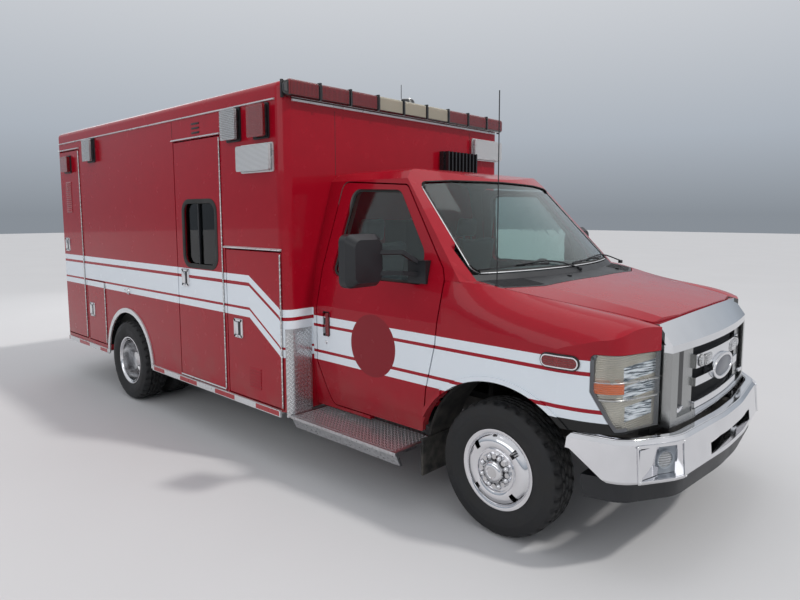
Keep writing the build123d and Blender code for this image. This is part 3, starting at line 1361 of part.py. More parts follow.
# Antennas: a long mast on the curb side fender and a whip on the module's roof
MAST = (-100, -850, 1343, 1060, 3, 18)  # ahead, across, foot, length, radius, foot's radius
WHIP = (-2100, 500, MODULE_TOP, 300, 3, 25)
with BuildPart() as antennas:
    for mast_ahead, across, foot, length, radius, foot_r in (MAST, WHIP):
        with Locations((ahead(mast_ahead), across, foot + length / 2)):
            Cylinder(radius, length)
        with Locations((ahead(mast_ahead), across, foot + 8)):
            Cone(foot_r, foot_r / 2, 26)
    add(FORM[0], mode=Mode.SUBTRACT)
    add(module_roof.part, mode=Mode.SUBTRACT)
save(antennas.part, "antennas")
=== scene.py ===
"""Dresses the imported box-body ambulance: paint and stripes, glass, lamps, tyres and small fittings."""

import json
import math

import bmesh
import bpy
from mathutils import Matrix, Vector

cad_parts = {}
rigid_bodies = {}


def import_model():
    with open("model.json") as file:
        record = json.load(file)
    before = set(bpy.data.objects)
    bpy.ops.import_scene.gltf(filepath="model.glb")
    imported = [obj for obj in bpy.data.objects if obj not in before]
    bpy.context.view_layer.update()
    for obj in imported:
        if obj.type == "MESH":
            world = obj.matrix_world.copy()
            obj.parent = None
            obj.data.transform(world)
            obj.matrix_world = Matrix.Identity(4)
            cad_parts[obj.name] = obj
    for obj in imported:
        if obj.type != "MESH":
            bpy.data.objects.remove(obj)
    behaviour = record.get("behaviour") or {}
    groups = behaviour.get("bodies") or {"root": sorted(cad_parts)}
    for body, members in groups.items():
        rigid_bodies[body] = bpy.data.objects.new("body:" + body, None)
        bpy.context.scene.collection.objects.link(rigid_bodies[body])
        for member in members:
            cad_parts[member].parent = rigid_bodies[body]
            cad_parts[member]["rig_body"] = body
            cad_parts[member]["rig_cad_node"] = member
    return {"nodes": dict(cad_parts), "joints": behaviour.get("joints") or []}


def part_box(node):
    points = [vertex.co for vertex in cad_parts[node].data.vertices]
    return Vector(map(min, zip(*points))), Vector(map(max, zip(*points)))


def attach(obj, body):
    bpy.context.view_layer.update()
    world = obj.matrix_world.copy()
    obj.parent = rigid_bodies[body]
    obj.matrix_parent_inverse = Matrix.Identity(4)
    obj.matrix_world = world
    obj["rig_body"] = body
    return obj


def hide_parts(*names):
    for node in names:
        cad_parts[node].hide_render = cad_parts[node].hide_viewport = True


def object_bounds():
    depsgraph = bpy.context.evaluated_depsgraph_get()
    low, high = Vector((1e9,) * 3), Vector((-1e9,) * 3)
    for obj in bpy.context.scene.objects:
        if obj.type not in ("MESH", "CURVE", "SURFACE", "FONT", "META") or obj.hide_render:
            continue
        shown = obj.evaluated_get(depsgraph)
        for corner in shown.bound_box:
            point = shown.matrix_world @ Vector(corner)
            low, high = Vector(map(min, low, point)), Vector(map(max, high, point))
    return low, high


bl_info = {
    "name": "Box-body ambulance dressing",
    "version": (1, 0, 0),
    "blender": (4, 5, 0),
    "location": "View3D > Sidebar > Ambulance",
    "description": "Paint, stripes, glass, lamps, tyres and fittings for a box-body ambulance",
    "category": "Object",
}

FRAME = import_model()
CAD_BOX = [list(corner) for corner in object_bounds()]

# Landmarks of the frame, in metres
RIGHT, LEFT = -1, 1
SIDES = (("right", RIGHT), ("left", LEFT))
TYRE_LOW, TYRE_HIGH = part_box("tyre_front_right")
AXLE_X = (TYRE_LOW.x + TYRE_HIGH.x) / 2
TYRE_R = TYRE_HIGH.z / 2
REAR_AXLE_X = (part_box("tyres_rear_right")[0].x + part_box("tyres_rear_right")[1].x) / 2
MODULE_REAR_X, MODULE_FRONT_X = (corner.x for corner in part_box("module_ends"))
SIDE_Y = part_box("module_sides")[1].y
MODULE_TOP_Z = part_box("module_roof")[1].z
STEP_MIDDLE_X, STEP_TOP_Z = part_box("tread_plate")[0].x + 0.1, 0.52


def ahead(x):
    """Frame coordinate of a place given as metres ahead of the front axle."""
    return AXLE_X + x


class PaintSettings(bpy.types.PropertyGroup):
    """Colours of the bodywork, and the size of its plain disc."""

    body: bpy.props.FloatVectorProperty(
        name="Body", description="Colour of the bodywork", default=(0.34, 0.003, 0.014), subtype="COLOR"
    )
    stripe: bpy.props.FloatVectorProperty(
        name="Stripe", description="Colour of the stripes", default=(0.76, 0.81, 0.86), subtype="COLOR"
    )
    roundel: bpy.props.FloatVectorProperty(
        name="Roundel", description="Colour of the plain disc on the cab door", default=(0.22, 0.003, 0.011),
        subtype="COLOR",
    )
    roundel_radius: bpy.props.FloatProperty(
        name="Roundel radius", description="Radius of the plain disc", default=0.2, unit="LENGTH"
    )


class TyreSettings(bpy.types.PropertyGroup):
    """Sizes of the tyres' tread."""

    groove: bpy.props.FloatProperty(
        name="Groove depth", description="Depth of the tread's grooves", default=0.009, unit="LENGTH"
    )
    steps: bpy.props.IntProperty(
        name="Steps", description="Steps round each tyre, in threes", default=96, min=48
    )


class LampSettings(bpy.types.PropertyGroup):
    """Colours of the lenses."""

    red: bpy.props.FloatVectorProperty(
        name="Red", description="Colour of the red lenses", default=(0.5, 0.012, 0.02), subtype="COLOR"
    )
    amber: bpy.props.FloatVectorProperty(
        name="Amber", description="Colour of the amber lenses", default=(1.0, 0.17, 0.004), subtype="COLOR"
    )
    clear: bpy.props.FloatVectorProperty(
        name="Clear", description="Colour of the clear lenses", default=(0.8, 0.82, 0.84), subtype="COLOR"
    )


class StageSettings(bpy.types.PropertyGroup):
    """Place of the camera, measured from the ground under the front axle, and the light."""

    eye: bpy.props.FloatVectorProperty(
        name="Eye", description="Camera's place from the front axle", default=(1.801, -3.618, 1.746),
        subtype="TRANSLATION", unit="LENGTH",
    )
    azimuth: bpy.props.FloatProperty(
        name="Azimuth", description="Camera's turn round the object", default=math.radians(41.96),
        unit="ROTATION",
    )
    elevation: bpy.props.FloatProperty(
        name="Elevation", description="How far the camera looks down", default=math.radians(5.97),
        unit="ROTATION",
    )
    focal: bpy.props.FloatProperty(
        name="Focal length", description="Focal length in picture widths", default=609.4 / 800
    )
    light: bpy.props.FloatProperty(
        name="Light", description="Strength of the surrounding light", default=0.68
    )


SETTINGS = {"paint": PaintSettings, "tyre": TyreSettings, "lamp": LampSettings, "stage": StageSettings}
PICTURE_W = 800
PICTURE_SHIFT = (17.5, -21.9)  # pixels that the view's centre lies right of and above the middle


def settings(group):
    """The values that the panel shows for one group."""
    return getattr(bpy.context.scene, "ambulance_" + group)


# Helpers for modelling


def clear():
    """Leaves edit mode and deselects everything."""
    if bpy.context.object and bpy.context.object.mode != "OBJECT":
        bpy.ops.object.mode_set(mode="OBJECT")
    bpy.ops.object.select_all(action="DESELECT")


def chosen(piece):
    """Selects one piece alone and makes it the active one."""
    clear()
    piece.select_set(True)
    bpy.context.view_layer.objects.active = piece
    return piece


def whole():
    """In edit mode, selects all of the mesh."""
    bpy.ops.mesh.select_all(action="SELECT")


def edit():
    """Goes into edit mode on the active object, by its points, with all of it selected."""
    bpy.ops.object.mode_set(mode="EDIT")
    bpy.context.tool_settings.mesh_select_mode = (True, False, False)
    whole()


def leave():
    """Goes back to object mode."""
    bpy.ops.object.mode_set(mode="OBJECT")


def extrude(move):
    """In edit mode, extrudes what is selected by a move."""
    bpy.ops.mesh.extrude_region_move(TRANSFORM_OT_translate={"value": move})


def bevel(ease, rounds=2):
    """In edit mode, rounds the selected edges."""
    bpy.ops.mesh.bevel(offset=ease, segments=rounds, affect="EDGES")


def outwards():
    """In edit mode, turns all the normals outwards."""
    whole()
    bpy.ops.mesh.normals_make_consistent(inside=False)


def written():
    """Writes the active object's place into its mesh."""
    bpy.ops.object.transform_apply(location=True, rotation=True, scale=True)


def smoothed(degrees):
    """Smooths the active object, but for edges sharper than this."""
    bpy.ops.object.shade_smooth_by_angle(angle=math.radians(degrees))


def drop(*pieces):
    """Removes patterns that have been copied."""
    for piece in pieces:
        bpy.data.objects.remove(piece)


def pick(test, kind="FACE"):
    """In edit mode, selects the faces or edges whose middle and normal pass the test."""
    bpy.context.tool_settings.mesh_select_mode = (False, kind == "EDGE", kind == "FACE")
    data = bpy.context.object.data
    mesh = bmesh.from_edit_mesh(data)
    for parts in (mesh.verts, mesh.edges, mesh.faces):
        for part in parts:
            part.select = False
    for part in mesh.faces if kind == "FACE" else mesh.edges:
        if kind == "FACE":
            middle, normal = part.calc_center_median(), part.normal
        else:
            middle, normal = (part.verts[0].co + part.verts[1].co) / 2, part.verts[0].normal
        if test(middle, normal):
            part.select_set(True)
    mesh.select_flush_mode()
    bmesh.update_edit_mesh(data)


def modify(kind, **values):
    """Adds a modifier to the active object and applies it."""
    modifier = bpy.context.object.modifiers.new(kind.title(), kind)
    for key, value in values.items():
        setattr(modifier, key, value)
    bpy.ops.object.modifier_apply(modifier=modifier.name)


def slab(low, high, ease=0.0, rounds=2):
    """A block between two corners, with its edges eased."""
    clear()
    low, high = Vector(low), Vector(high)
    bpy.ops.mesh.primitive_cube_add(size=1, location=(low + high) / 2)
    bpy.context.object.scale = high - low
    bpy.ops.object.transform_apply(location=False, rotation=False, scale=True)
    if ease:
        edit()
        bevel(ease, rounds)
        leave()
    return bpy.context.object


def disc(middle, radius, depth, around, ease, rounds=2):
    """A disc or rod along the z axis, with its rims eased."""
    clear()
    bpy.ops.mesh.primitive_cone_add(
        vertices=around, radius1=radius, radius2=radius, depth=depth, location=middle
    )
    edit()
    pick(lambda at, out: abs(abs(at.z) - depth / 2) < depth * 0.01, "EDGE")
    bevel(ease, rounds)
    leave()
    return bpy.context.object


def draw(points):
    """Draws a run of edges by extruding a point from place to place, and stays in edit mode."""
    clear()
    points = [Vector(point) for point in points]
    bpy.ops.mesh.primitive_plane_add(size=0.01, location=points[0])
    edit()
    bpy.ops.mesh.merge(type="CENTER")
    for here, there in zip(points, points[1:]):
        extrude(there - here)
    whole()
    return bpy.context.object


def plate(points, depth, ease=0.0):
    """A flat plate from its outline in x and y, with its top at z = depth."""
    draw([(x, y, 0) for x, y in points])
    bpy.ops.mesh.edge_face_add()
    extrude((0, 0, depth))
    outwards()
    if ease:
        pick(lambda at, out: abs(at.z - depth) < 1e-5, "EDGE")
        bevel(ease)
    leave()
    return bpy.context.object


def band(points, width, depth, base=0.0, ease=0.0):
    """A closed band of this width inside an outline in x and y, such as a seal or a bezel."""
    draw([(x, y, base) for x, y in points])
    bpy.ops.mesh.edge_face_add()
    bpy.ops.mesh.inset(thickness=width)
    bpy.ops.mesh.delete(type="FACE")
    whole()
    extrude((0, 0, depth))
    outwards()
    if ease:
        pick(lambda at, out: abs(at.z - depth) < 1e-5 and abs(out.z) > 0.1, "EDGE")
        bevel(ease)
    leave()
    return bpy.context.object


def spun(profile, steps=64, smooth=40):
    """Turns a profile of (radius, along) about the z axis at the origin."""
    draw([(radius, 0, along) for radius, along in profile])
    bpy.ops.mesh.spin(steps=steps, angle=math.tau, center=(0, 0, 0), axis=(0, 0, 1))
    whole()
    bpy.ops.mesh.remove_doubles(threshold=0.00005)
    outwards()
    leave()
    written()
    smoothed(smooth)
    return bpy.context.object


def tube(points, radius, sides=2):
    """A round bar along points, made as a smooth curve and turned into a mesh."""
    line = bpy.data.curves.new("line", "CURVE")
    line.dimensions = "3D"
    line.bevel_depth = radius
    line.bevel_resolution = sides
    line.use_fill_caps = True
    line.resolution_u = 6
    spline = line.splines.new("BEZIER")
    spline.bezier_points.add(len(points) - 1)
    for knot, point in zip(spline.bezier_points, points):
        knot.co = point
        knot.handle_left_type = knot.handle_right_type = "AUTO"
    piece = bpy.data.objects.new("line", line)
    bpy.context.scene.collection.objects.link(piece)
    chosen(piece)
    bpy.ops.object.convert(target="MESH")
    return bpy.context.object


def rounded(width, height, radius, steps=5):
    """Outline of a rectangle with round corners, about the origin."""
    points = []
    for number, (sx, sy) in enumerate(((1, 1), (-1, 1), (-1, -1), (1, -1))):
        for step in range(steps + 1):
            angle = math.pi / 2 * (number + step / steps)
            points.append((
                sx * (width / 2 - radius) + radius * math.cos(angle),
                sy * (height / 2 - radius) + radius * math.sin(angle),
            ))
    return points


def facing(origin, across, out):
    """Matrix that lays a piece modelled on the xy plane on a wall, with its z axis outwards."""
    across, out = Vector(across), Vector(out)
    up = out.cross(across)
    return Matrix.Translation(Vector(origin)) @ Matrix((across, up, out)).transposed().to_4x4()


def on_side(side, x, z, y=SIDE_Y):
    """Lays a piece on the module's side wall; its x axis runs towards the front on the right."""
    return facing((x, side * y, z), (-side, 0, 0), (0, side, 0))


def on_front(y, z, x=MODULE_FRONT_X):
    """Lays a piece on a wall that faces forwards; its x axis runs to the left side."""
    return facing((x, y, z), (0, 1, 0), (1, 0, 0))


def on_rear(y, z, x=MODULE_REAR_X):
    """Lays a piece on a wall that faces rearwards; its x axis runs to the right side."""
    return facing((x, y, z), (0, -1, 0), (-1, 0, 0))


def on_top(x, y, z):
    """Lays a piece flat, with its x axis towards the front."""
    return facing((x, y, z), (1, 0, 0), (0, 0, 1))


def laid(piece, matrix):
    """Moves a piece by a matrix and writes that into its mesh."""
    chosen(piece)
    piece.matrix_world = matrix @ piece.matrix_world
    written()
    return piece


def moved(piece, *place):
    """Moves a piece by three distances and writes that into its mesh."""
    return laid(piece, Matrix.Translation(place))


def copied(piece, matrix=Matrix.Identity(4)):
    """A copy of a piece, with a mesh of its own, moved by a matrix."""
    clear()
    twin = piece.copy()
    twin.data = piece.data.copy()
    bpy.context.scene.collection.objects.link(twin)
    twin.parent = None
    twin.matrix_world = piece.matrix_world.copy()
    twin = laid(twin, matrix)
    if matrix.to_3x3().determinant() < 0:
        edit()
        outwards()
        leave()
    return twin


def turned_over(piece):
    """Turns a piece's normals the other way round."""
    chosen(piece)
    edit()
    bpy.ops.mesh.flip_normals()
    leave()


def both_sides(piece):
    """A piece and its mirror image on the other side."""
    return [piece, copied(piece, Matrix.Diagonal((1, -1, 1, 1)))]


def joined(pieces):
    """Several pieces as one."""
    clear()
    for piece in pieces:
        piece.select_set(True)
    bpy.context.view_layer.objects.active = pieces[0]
    if len(pieces) > 1:
        bpy.ops.object.join()
    return bpy.context.object


def finished(piece, name, finish, body="root", smooth=None):
    """Writes the piece's place into its mesh, gives it its name and finish, and lets it ride."""
    chosen(piece)
    written()
    if smooth:
        smoothed(smooth)
    piece.name = name
    piece.data.materials.clear()
    piece.data.materials.append(FINISHES[finish])
    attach(piece, body)
    return piece


# Finishes


class Mixer:
    """Builds one material: values go into the shader, and short methods add nodes."""

    def __init__(self, name, **values):
        self.material = bpy.data.materials.new(name)
        self.material.use_nodes = True
        self.tree = self.material.node_tree
        self.shader = self.tree.nodes["Principled BSDF"]
        for key, value in values.items():
            self.shader.inputs[key.replace("_", " ")].default_value = value
        where = self.tree.nodes.new("ShaderNodeTexCoord")
        self.place, self.normal = where.outputs["Object"], where.outputs["Normal"]

    def feed(self, socket, value):
        if isinstance(value, bpy.types.NodeSocket):
            self.tree.links.new(value, socket)
        else:
            socket.default_value = value

    def set(self, socket, value):
        self.feed(self.shader.inputs[socket], value)

    def math(self, operation, *values):
        node = self.tree.nodes.new("ShaderNodeMath")
        node.operation = operation
        for socket, value in zip(node.inputs, values):
            self.feed(socket, value)
        return node.outputs[0]

    def vector(self, operation, *values, output=0):
        node = self.tree.nodes.new("ShaderNodeVectorMath")
        node.operation = operation
        for socket, value in zip(node.inputs, values):
            self.feed(socket, value)
        return node.outputs[output]

    def chain(self, operation, first, *others):
        for other in others:
            first = self.math(operation, first, other)
        return first

    def times(self, *values):
        return self.chain("MULTIPLY", *values)

    def either(self, *values):
        return self.chain("MAXIMUM", *values)

    def above(self, value, limit):
        return self.math("GREATER_THAN", value, limit)

    def under(self, value, limit):
        return self.math("LESS_THAN", value, limit)

    def between(self, value, low, high):
        return self.times(self.above(value, low), self.under(value, high))

    def axes(self):
        node = self.tree.nodes.new("ShaderNodeSeparateXYZ")
        self.feed(node.inputs[0], self.place)
        return node.outputs

    def span(self, value, low, high, start=0.0, end=1.0):
        node = self.tree.nodes.new("ShaderNodeMapRange")
        for socket, given in zip(node.inputs, (value, low, high, start, end)):
            self.feed(socket, given)
        return node.outputs[0]

    def mix(self, share, a, b):
        """Blends two colours, each a socket or three numbers."""
        node = self.tree.nodes.new("ShaderNodeMix")
        node.data_type = "RGBA"
        self.feed(node.inputs[0], share)
        for socket, value in ((node.inputs[6], a), (node.inputs[7], b)):
            self.feed(socket, value if isinstance(value, bpy.types.NodeSocket) else (*value, 1.0))
        return node.outputs[2]

    def noise(self, scale, detail=3.0, stretch=None):
        node = self.tree.nodes.new("ShaderNodeTexNoise")
        place = self.vector("MULTIPLY", self.place, stretch) if stretch else self.place
        self.feed(node.inputs["Vector"], place)
        node.inputs["Scale"].default_value = scale
        node.inputs["Detail"].default_value = detail
        return node.outputs[0]

    def ribs(self, value, pitch):
        """A rounded wave, 0 to 1, that repeats every pitch along value."""
        wave = self.math("SINE", self.times(value, math.tau / pitch))
        return self.math("MULTIPLY_ADD", wave, 0.5, 0.5)

    def rough(self, value, smooth, dull):
        """Roughness that follows a noise from smooth to dull."""
        self.set("Roughness", self.span(value, 0.3, 0.7, smooth, dull))

    def bump(self, height, distance, strength):
        node = self.tree.nodes.new("ShaderNodeBump")
        node.inputs["Strength"].default_value = strength
        node.inputs["Distance"].default_value = distance
        self.feed(node.inputs["Height"], height)
        self.set("Normal", node.outputs[0])


# Edges of the three stripes, each with its heights behind the slope, in front of it and on the cab
STRIPE_EDGES = [
    # behind, in front, cab
    (1.315, 1.108, 1.055),
    (1.263, 1.056, 1.0),
    (1.238, 1.032, 0.98),
    (1.085, 0.851, 0.82),
    (1.066, 0.834, 0.8),
    (1.013, 0.78, 0.75),
]
SLOPE = (ahead(-1.97), ahead(-1.6))
ROUNDEL_AT = (ahead(-0.935), 0.92)
CAB_MIDDLE = (ahead(-0.7), 0.0, 1.2)
MODULE_MIDDLE = ((MODULE_REAR_X + MODULE_FRONT_X) / 2, 0.0, 1.55)
TRIM_GREY = (0.2, 0.2, 0.195)
WELL_X = (ahead(-0.62), ahead(0.5))  # the front wheels' wells, black inside
WELL_INNER = (0.885, 1.13)  # how far out and how high they reach
REAR_ARCH_X = tuple(corner.x + sign * 0.075 for corner, sign in zip(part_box("tyres_rear_right"), (-1, 1)))
REAR_ARCH_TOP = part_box("tyres_rear_right")[1].z + 0.11
NOSE_BACK_X, NOSE_LINE_Z = ahead(0.30), 0.757  # the nose is black ahead of this and under it
WELL_BLACK = (0.012, 0.012, 0.012)


def paint_finish(name, middle, jamb, lining):
    """Red paint with the stripes; what faces inwards, up to a jamb this far out, has its lining's colour."""
    colours = settings("paint")
    m = Mixer(name, Roughness=0.24, Specular_IOR_Level=0.12, Coat_Weight=0.4, Coat_Roughness=0.03)
    x, y, z = m.axes()
    slope = m.span(x, *SLOPE)
    on_cab = m.above(x, MODULE_FRONT_X + 0.012)
    stripes = []
    for rows in zip(STRIPE_EDGES[::2], STRIPE_EDGES[1::2]):
        edges = []
        for back_z, front_z, cab_z in rows:
            height = m.math("MULTIPLY_ADD", slope, front_z - back_z, back_z)
            edges.append(m.math("MULTIPLY_ADD", on_cab, cab_z - front_z, height))
        stripes.append(m.between(z, edges[1], edges[0]))
    away = m.vector("SUBTRACT", m.place, (ROUNDEL_AT[0], 0, ROUNDEL_AT[1]))
    away = m.vector("LENGTH", m.vector("MULTIPLY", away, (1, 0, 1)), output=1)
    roundel = m.under(away, colours.roundel_radius)
    stripes = m.times(m.chain("ADD", *stripes), m.math("SUBTRACT", 1.0, roundel))
    speckle = m.noise(9.0, 6.0)
    coat = m.mix(m.span(speckle, 0.3, 0.7), [c * 0.93 for c in colours.body], colours.body)
    coat = m.mix(roundel, coat, colours.roundel)
    coat = m.mix(stripes, coat, colours.stripe)
    dust = m.times(m.span(z, 0.75, 0.35), m.span(m.noise(3.5, 8.0), 0.4, 0.75))
    coat = m.mix(m.times(dust, 0.35), coat, (0.2, 0.16, 0.13))
    away = m.vector("SUBTRACT", m.place, middle)
    facing_in = m.under(m.vector("DOT_PRODUCT", m.normal, away, output=1), -0.04)
    out = m.math("ABSOLUTE", y)
    across = m.vector("DOT_PRODUCT", m.vector("MULTIPLY", m.normal, away), (0, 1, 0), output=1)
    inwards = m.either(m.under(across, -0.4), m.times(facing_in, m.under(out, jamb)))
    well = m.times(m.under(out, WELL_INNER[0]), m.between(x, *WELL_X), m.under(z, WELL_INNER[1]))
    nose = m.times(m.above(x, NOSE_BACK_X), m.under(z, NOSE_LINE_Z))
    arch = m.times(m.between(x, *REAR_ARCH_X), m.under(z, REAR_ARCH_TOP), m.under(out, SIDE_Y - 0.002))
    coat = m.mix(inwards, coat, lining)
    m.set("Base Color", m.mix(m.either(well, nose, arch), coat, WELL_BLACK))
    m.set("Roughness", m.math("MULTIPLY_ADD", inwards, 0.35, m.span(speckle, 0.2, 0.8, 0.2, 0.3)))
    m.set("Coat Weight", m.math("MULTIPLY_ADD", inwards, -0.4, 0.4))
    m.bump(m.noise(9.0, 2.0), 0.0004, 0.15)
    return m.material


def plain_finish(name, colour, shade, rough, grain, depth, metal=0.0, coat=0.0, spread=0.08, dusty=0.0):
    """A finish with a grain, a slow change of colour and roughness, and dust low down."""
    m = Mixer(name, Metallic=metal, Coat_Weight=coat, Coat_Roughness=0.05)
    slow = m.noise(6.0, 5.0)
    tone = m.mix(m.span(slow, 0.3, 0.7), shade, colour)
    if dusty:
        z = m.axes()[2]
        low = m.times(m.span(z, 0.9, 0.2), m.span(m.noise(14.0, 8.0), 0.35, 0.7))
        tone = m.mix(m.times(low, dusty), tone, (0.22, 0.2, 0.17))
    m.set("Base Color", tone)
    m.rough(slow, rough - spread / 2, rough + spread)
    m.bump(m.noise(grain, 2.0), depth, 0.5)
    return m.material


def glass_finish(name, colour):
    """Tinted safety glass with faint smears."""
    m = Mixer(name, Transmission_Weight=1.0, IOR=1.45)
    m.set("Base Color", m.mix(m.span(m.noise(2.0, 4.0), 0.3, 0.7), [c * 0.94 for c in colour], colour))
    m.set("Roughness", m.span(m.noise(5.0, 6.0, (1, 1, 3)), 0.35, 0.8, 0.01, 0.05))
    return m.material


def cover_finish():
    """The headlamps' clear hard-coated cover, faintly hazed."""
    m = Mixer("headlamp_cover", Alpha=0.07, Coat_Weight=0.5, Coat_Roughness=0.02)
    haze = m.noise(7.0, 5.0)
    m.set("Base Color", m.mix(haze, (0.3, 0.32, 0.32), (0.45, 0.47, 0.48)))
    m.rough(haze, 0.04, 0.1)
    return m.material


def lens_finish(name, colour, axis, pitch, weight=0.55):
    """A moulded lens with flutes behind its face."""
    m = Mixer(name, Transmission_Weight=weight, IOR=1.3, Coat_Weight=1.0, Coat_Roughness=0.03)
    along = m.axes()[axis]
    flutes = m.ribs(along, pitch)
    m.set("Base Color", m.mix(flutes, [c * 0.55 for c in colour], colour))
    m.rough(m.noise(20.0, 2.0), 0.12, 0.22)
    m.bump(flutes, pitch * 0.3, 0.8)
    return m.material


def tyre_finish():
    """Black rubber with road dust."""
    m = Mixer("tyre_rubber")
    dust = m.span(m.noise(11.0, 8.0), 0.4, 0.75)
    m.set("Base Color", m.mix(m.times(dust, 0.3), (0.009, 0.0095, 0.011), (0.06, 0.056, 0.05)))
    m.set("Roughness", m.span(dust, 0.0, 1.0, 0.62, 0.9))
    m.bump(m.noise(300.0, 2.0), 0.0006, 0.5)
    return m.material


def fabric_finish():
    """Woven seat cloth: two crossing sets of threads."""
    m = Mixer("seat_cloth", Sheen_Weight=0.35, Sheen_Roughness=0.5)
    x, y, z = m.axes()
    weave = m.times(m.ribs(m.math("ADD", x, z), 0.006), m.ribs(y, 0.006))
    m.set("Base Color", m.mix(weave, (0.05, 0.052, 0.058), (0.16, 0.165, 0.175)))
    m.rough(m.noise(30.0, 3.0), 0.85, 0.97)
    m.bump(weave, 0.0015, 0.7)
    return m.material


def tread_plate_finish():
    """Bright rolled aluminium with scuffs."""
    m = Mixer("tread_plate", Metallic=1.0)
    scuff = m.noise(45.0, 6.0, (1, 4, 1))
    m.set("Base Color", m.mix(m.span(scuff, 0.35, 0.7), (0.42, 0.42, 0.43), (0.62, 0.62, 0.63)))
    m.set("Roughness", m.span(scuff, 0.3, 0.75, 0.24, 0.46))
    m.bump(m.noise(160.0, 3.0), 0.0004, 0.4)
    return m.material


def tape_finish():
    """Reflective tape: long white and red pieces in turn, with its fine honeycomb."""
    m = Mixer("reflector_tape", Metallic=0.25, Coat_Weight=0.6, Coat_Roughness=0.1)
    x, _, z = m.axes()
    turn = m.above(m.math("SINE", m.times(x, math.tau / 0.56)), 0.0)
    cells = m.times(m.ribs(x, 0.006), m.ribs(z, 0.006))
    white = m.mix(cells, (0.6, 0.61, 0.62), (0.8, 0.8, 0.8))
    red = m.mix(cells, (0.35, 0.006, 0.012), (0.5, 0.012, 0.02))
    m.set("Base Color", m.mix(turn, white, red))
    m.rough(m.noise(30.0, 3.0), 0.25, 0.4)
    m.bump(cells, 0.0005, 0.5)
    return m.material


GRILLE_BARS_HALF, GRILLE_HEADER_Z = 0.37, 1.075  # the bars' half width and the header's foot
GRILLE_SLOT_SHADE = ((0.482, 0.562), (0.768, 1.066))  # painted shade where the uprights' slots would be, which are not cut: out from the middle, height


def grille_finish():
    """Bright plate on the grille's header and bars, satin on the rest, and near-black painted shade where
    the uprights' uncut slots would be.
    """
    m = Mixer("grille_plating")
    _, y, z = m.axes()
    out = m.math("ABSOLUTE", y)
    plated = m.either(m.under(out, GRILLE_BARS_HALF), m.above(z, GRILLE_HEADER_Z))
    slow = m.noise(6.0, 5.0)
    bright = m.mix(slow, (0.72, 0.73, 0.75), (0.82, 0.83, 0.85))
    satin = m.mix(slow, (0.33, 0.335, 0.33), (0.43, 0.435, 0.43))
    # Painted shade: near black and not metallic where the uprights' slots would open; the slots themselves
    # are not cut.
    slot = m.times(m.between(out, *GRILLE_SLOT_SHADE[0]), m.between(z, *GRILLE_SLOT_SHADE[1]))
    m.set("Base Color", m.mix(slot, m.mix(plated, satin, bright), (0.008, 0.008, 0.009)))
    m.set("Metallic", m.math("SUBTRACT", 1.0, slot))
    m.set("Roughness", m.math("MULTIPLY_ADD", plated, -0.16, m.span(slow, 0.3, 0.7, 0.2, 0.28)))
    m.bump(m.noise(40.0, 2.0), 0.0001, 0.3)
    return m.material


FINNED_BOX_Y, FINNED_BOX_TOP_Z = (0.3, 0.803), 2.3  # the box on the front wall, beside the cab
DARK_BOXES_Z = 2.24  # the boxes above this on the sides are black


def lamp_box_finish():
    """The wall lamps' boxes: black high on the sides and for the finned one, else bright."""
    m = Mixer("lamp_housing")
    x, y, z = m.axes()
    front = m.above(x, MODULE_FRONT_X - 0.01)
    finned = m.times(front, m.between(y, *FINNED_BOX_Y), m.under(z, FINNED_BOX_TOP_Z))
    high = m.times(m.above(m.math("ABSOLUTE", y), SIDE_Y - 0.001), m.above(z, DARK_BOXES_Z))
    dark = m.either(finned, high)
    slow = m.noise(8.0, 4.0)
    bright = m.mix(slow, (0.5, 0.5, 0.5), (0.64, 0.64, 0.64))
    m.set("Base Color", m.mix(dark, bright, (0.018, 0.018, 0.02)))
    m.set("Metallic", m.math("MULTIPLY_ADD", dark, -0.8, 0.85))
    m.rough(slow, 0.22, 0.34)
    m.bump(m.noise(60.0, 2.0), 0.0003, 0.4)
    return m.material


def core_finish():
    """The radiator's core: fine upright fins between flat tubes."""
    m = Mixer("radiator_core", Metallic=0.6)
    _, y, z = m.axes()
    fins = m.times(m.ribs(y, 0.006), m.ribs(z, 0.016))
    m.set("Base Color", m.mix(fins, (0.004, 0.004, 0.004), (0.05, 0.05, 0.052)))
    m.rough(m.noise(8.0, 3.0), 0.45, 0.65)
    m.bump(fins, 0.003, 0.8)
    return m.material


BAR_LAMPS = 9


def bar_finish():
    """The light bar's lenses: three clear between threes of red, parted by dark ribs."""
    lamps = settings("lamp")
    m = Mixer("light_bar_lenses", Transmission_Weight=0.35, IOR=1.3, Coat_Weight=1.0, Coat_Roughness=0.04)
    _, y, z = m.axes()
    cell = 2 * SIDE_Y / BAR_LAMPS
    clear_ones = m.between(y, -1.5 * cell, 1.5 * cell)
    flutes = m.ribs(y, 0.011)
    red = m.mix(flutes, [c * 0.2 for c in lamps.red], [c * 0.6 for c in lamps.red])
    pale = m.mix(flutes, (0.3, 0.28, 0.2), (0.66, 0.62, 0.48))
    straps = m.under(m.math("COSINE", m.times(y, math.tau / cell)), -0.93)
    foot = m.under(z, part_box("light_bar")[0].z + 0.012)
    lenses = m.mix(clear_ones, red, pale)
    m.set("Base Color", m.mix(m.either(straps, foot), lenses, (0.012, 0.012, 0.013)))
    m.rough(m.noise(30.0, 2.0), 0.14, 0.24)
    m.bump(flutes, 0.002, 0.7)
    return m.material


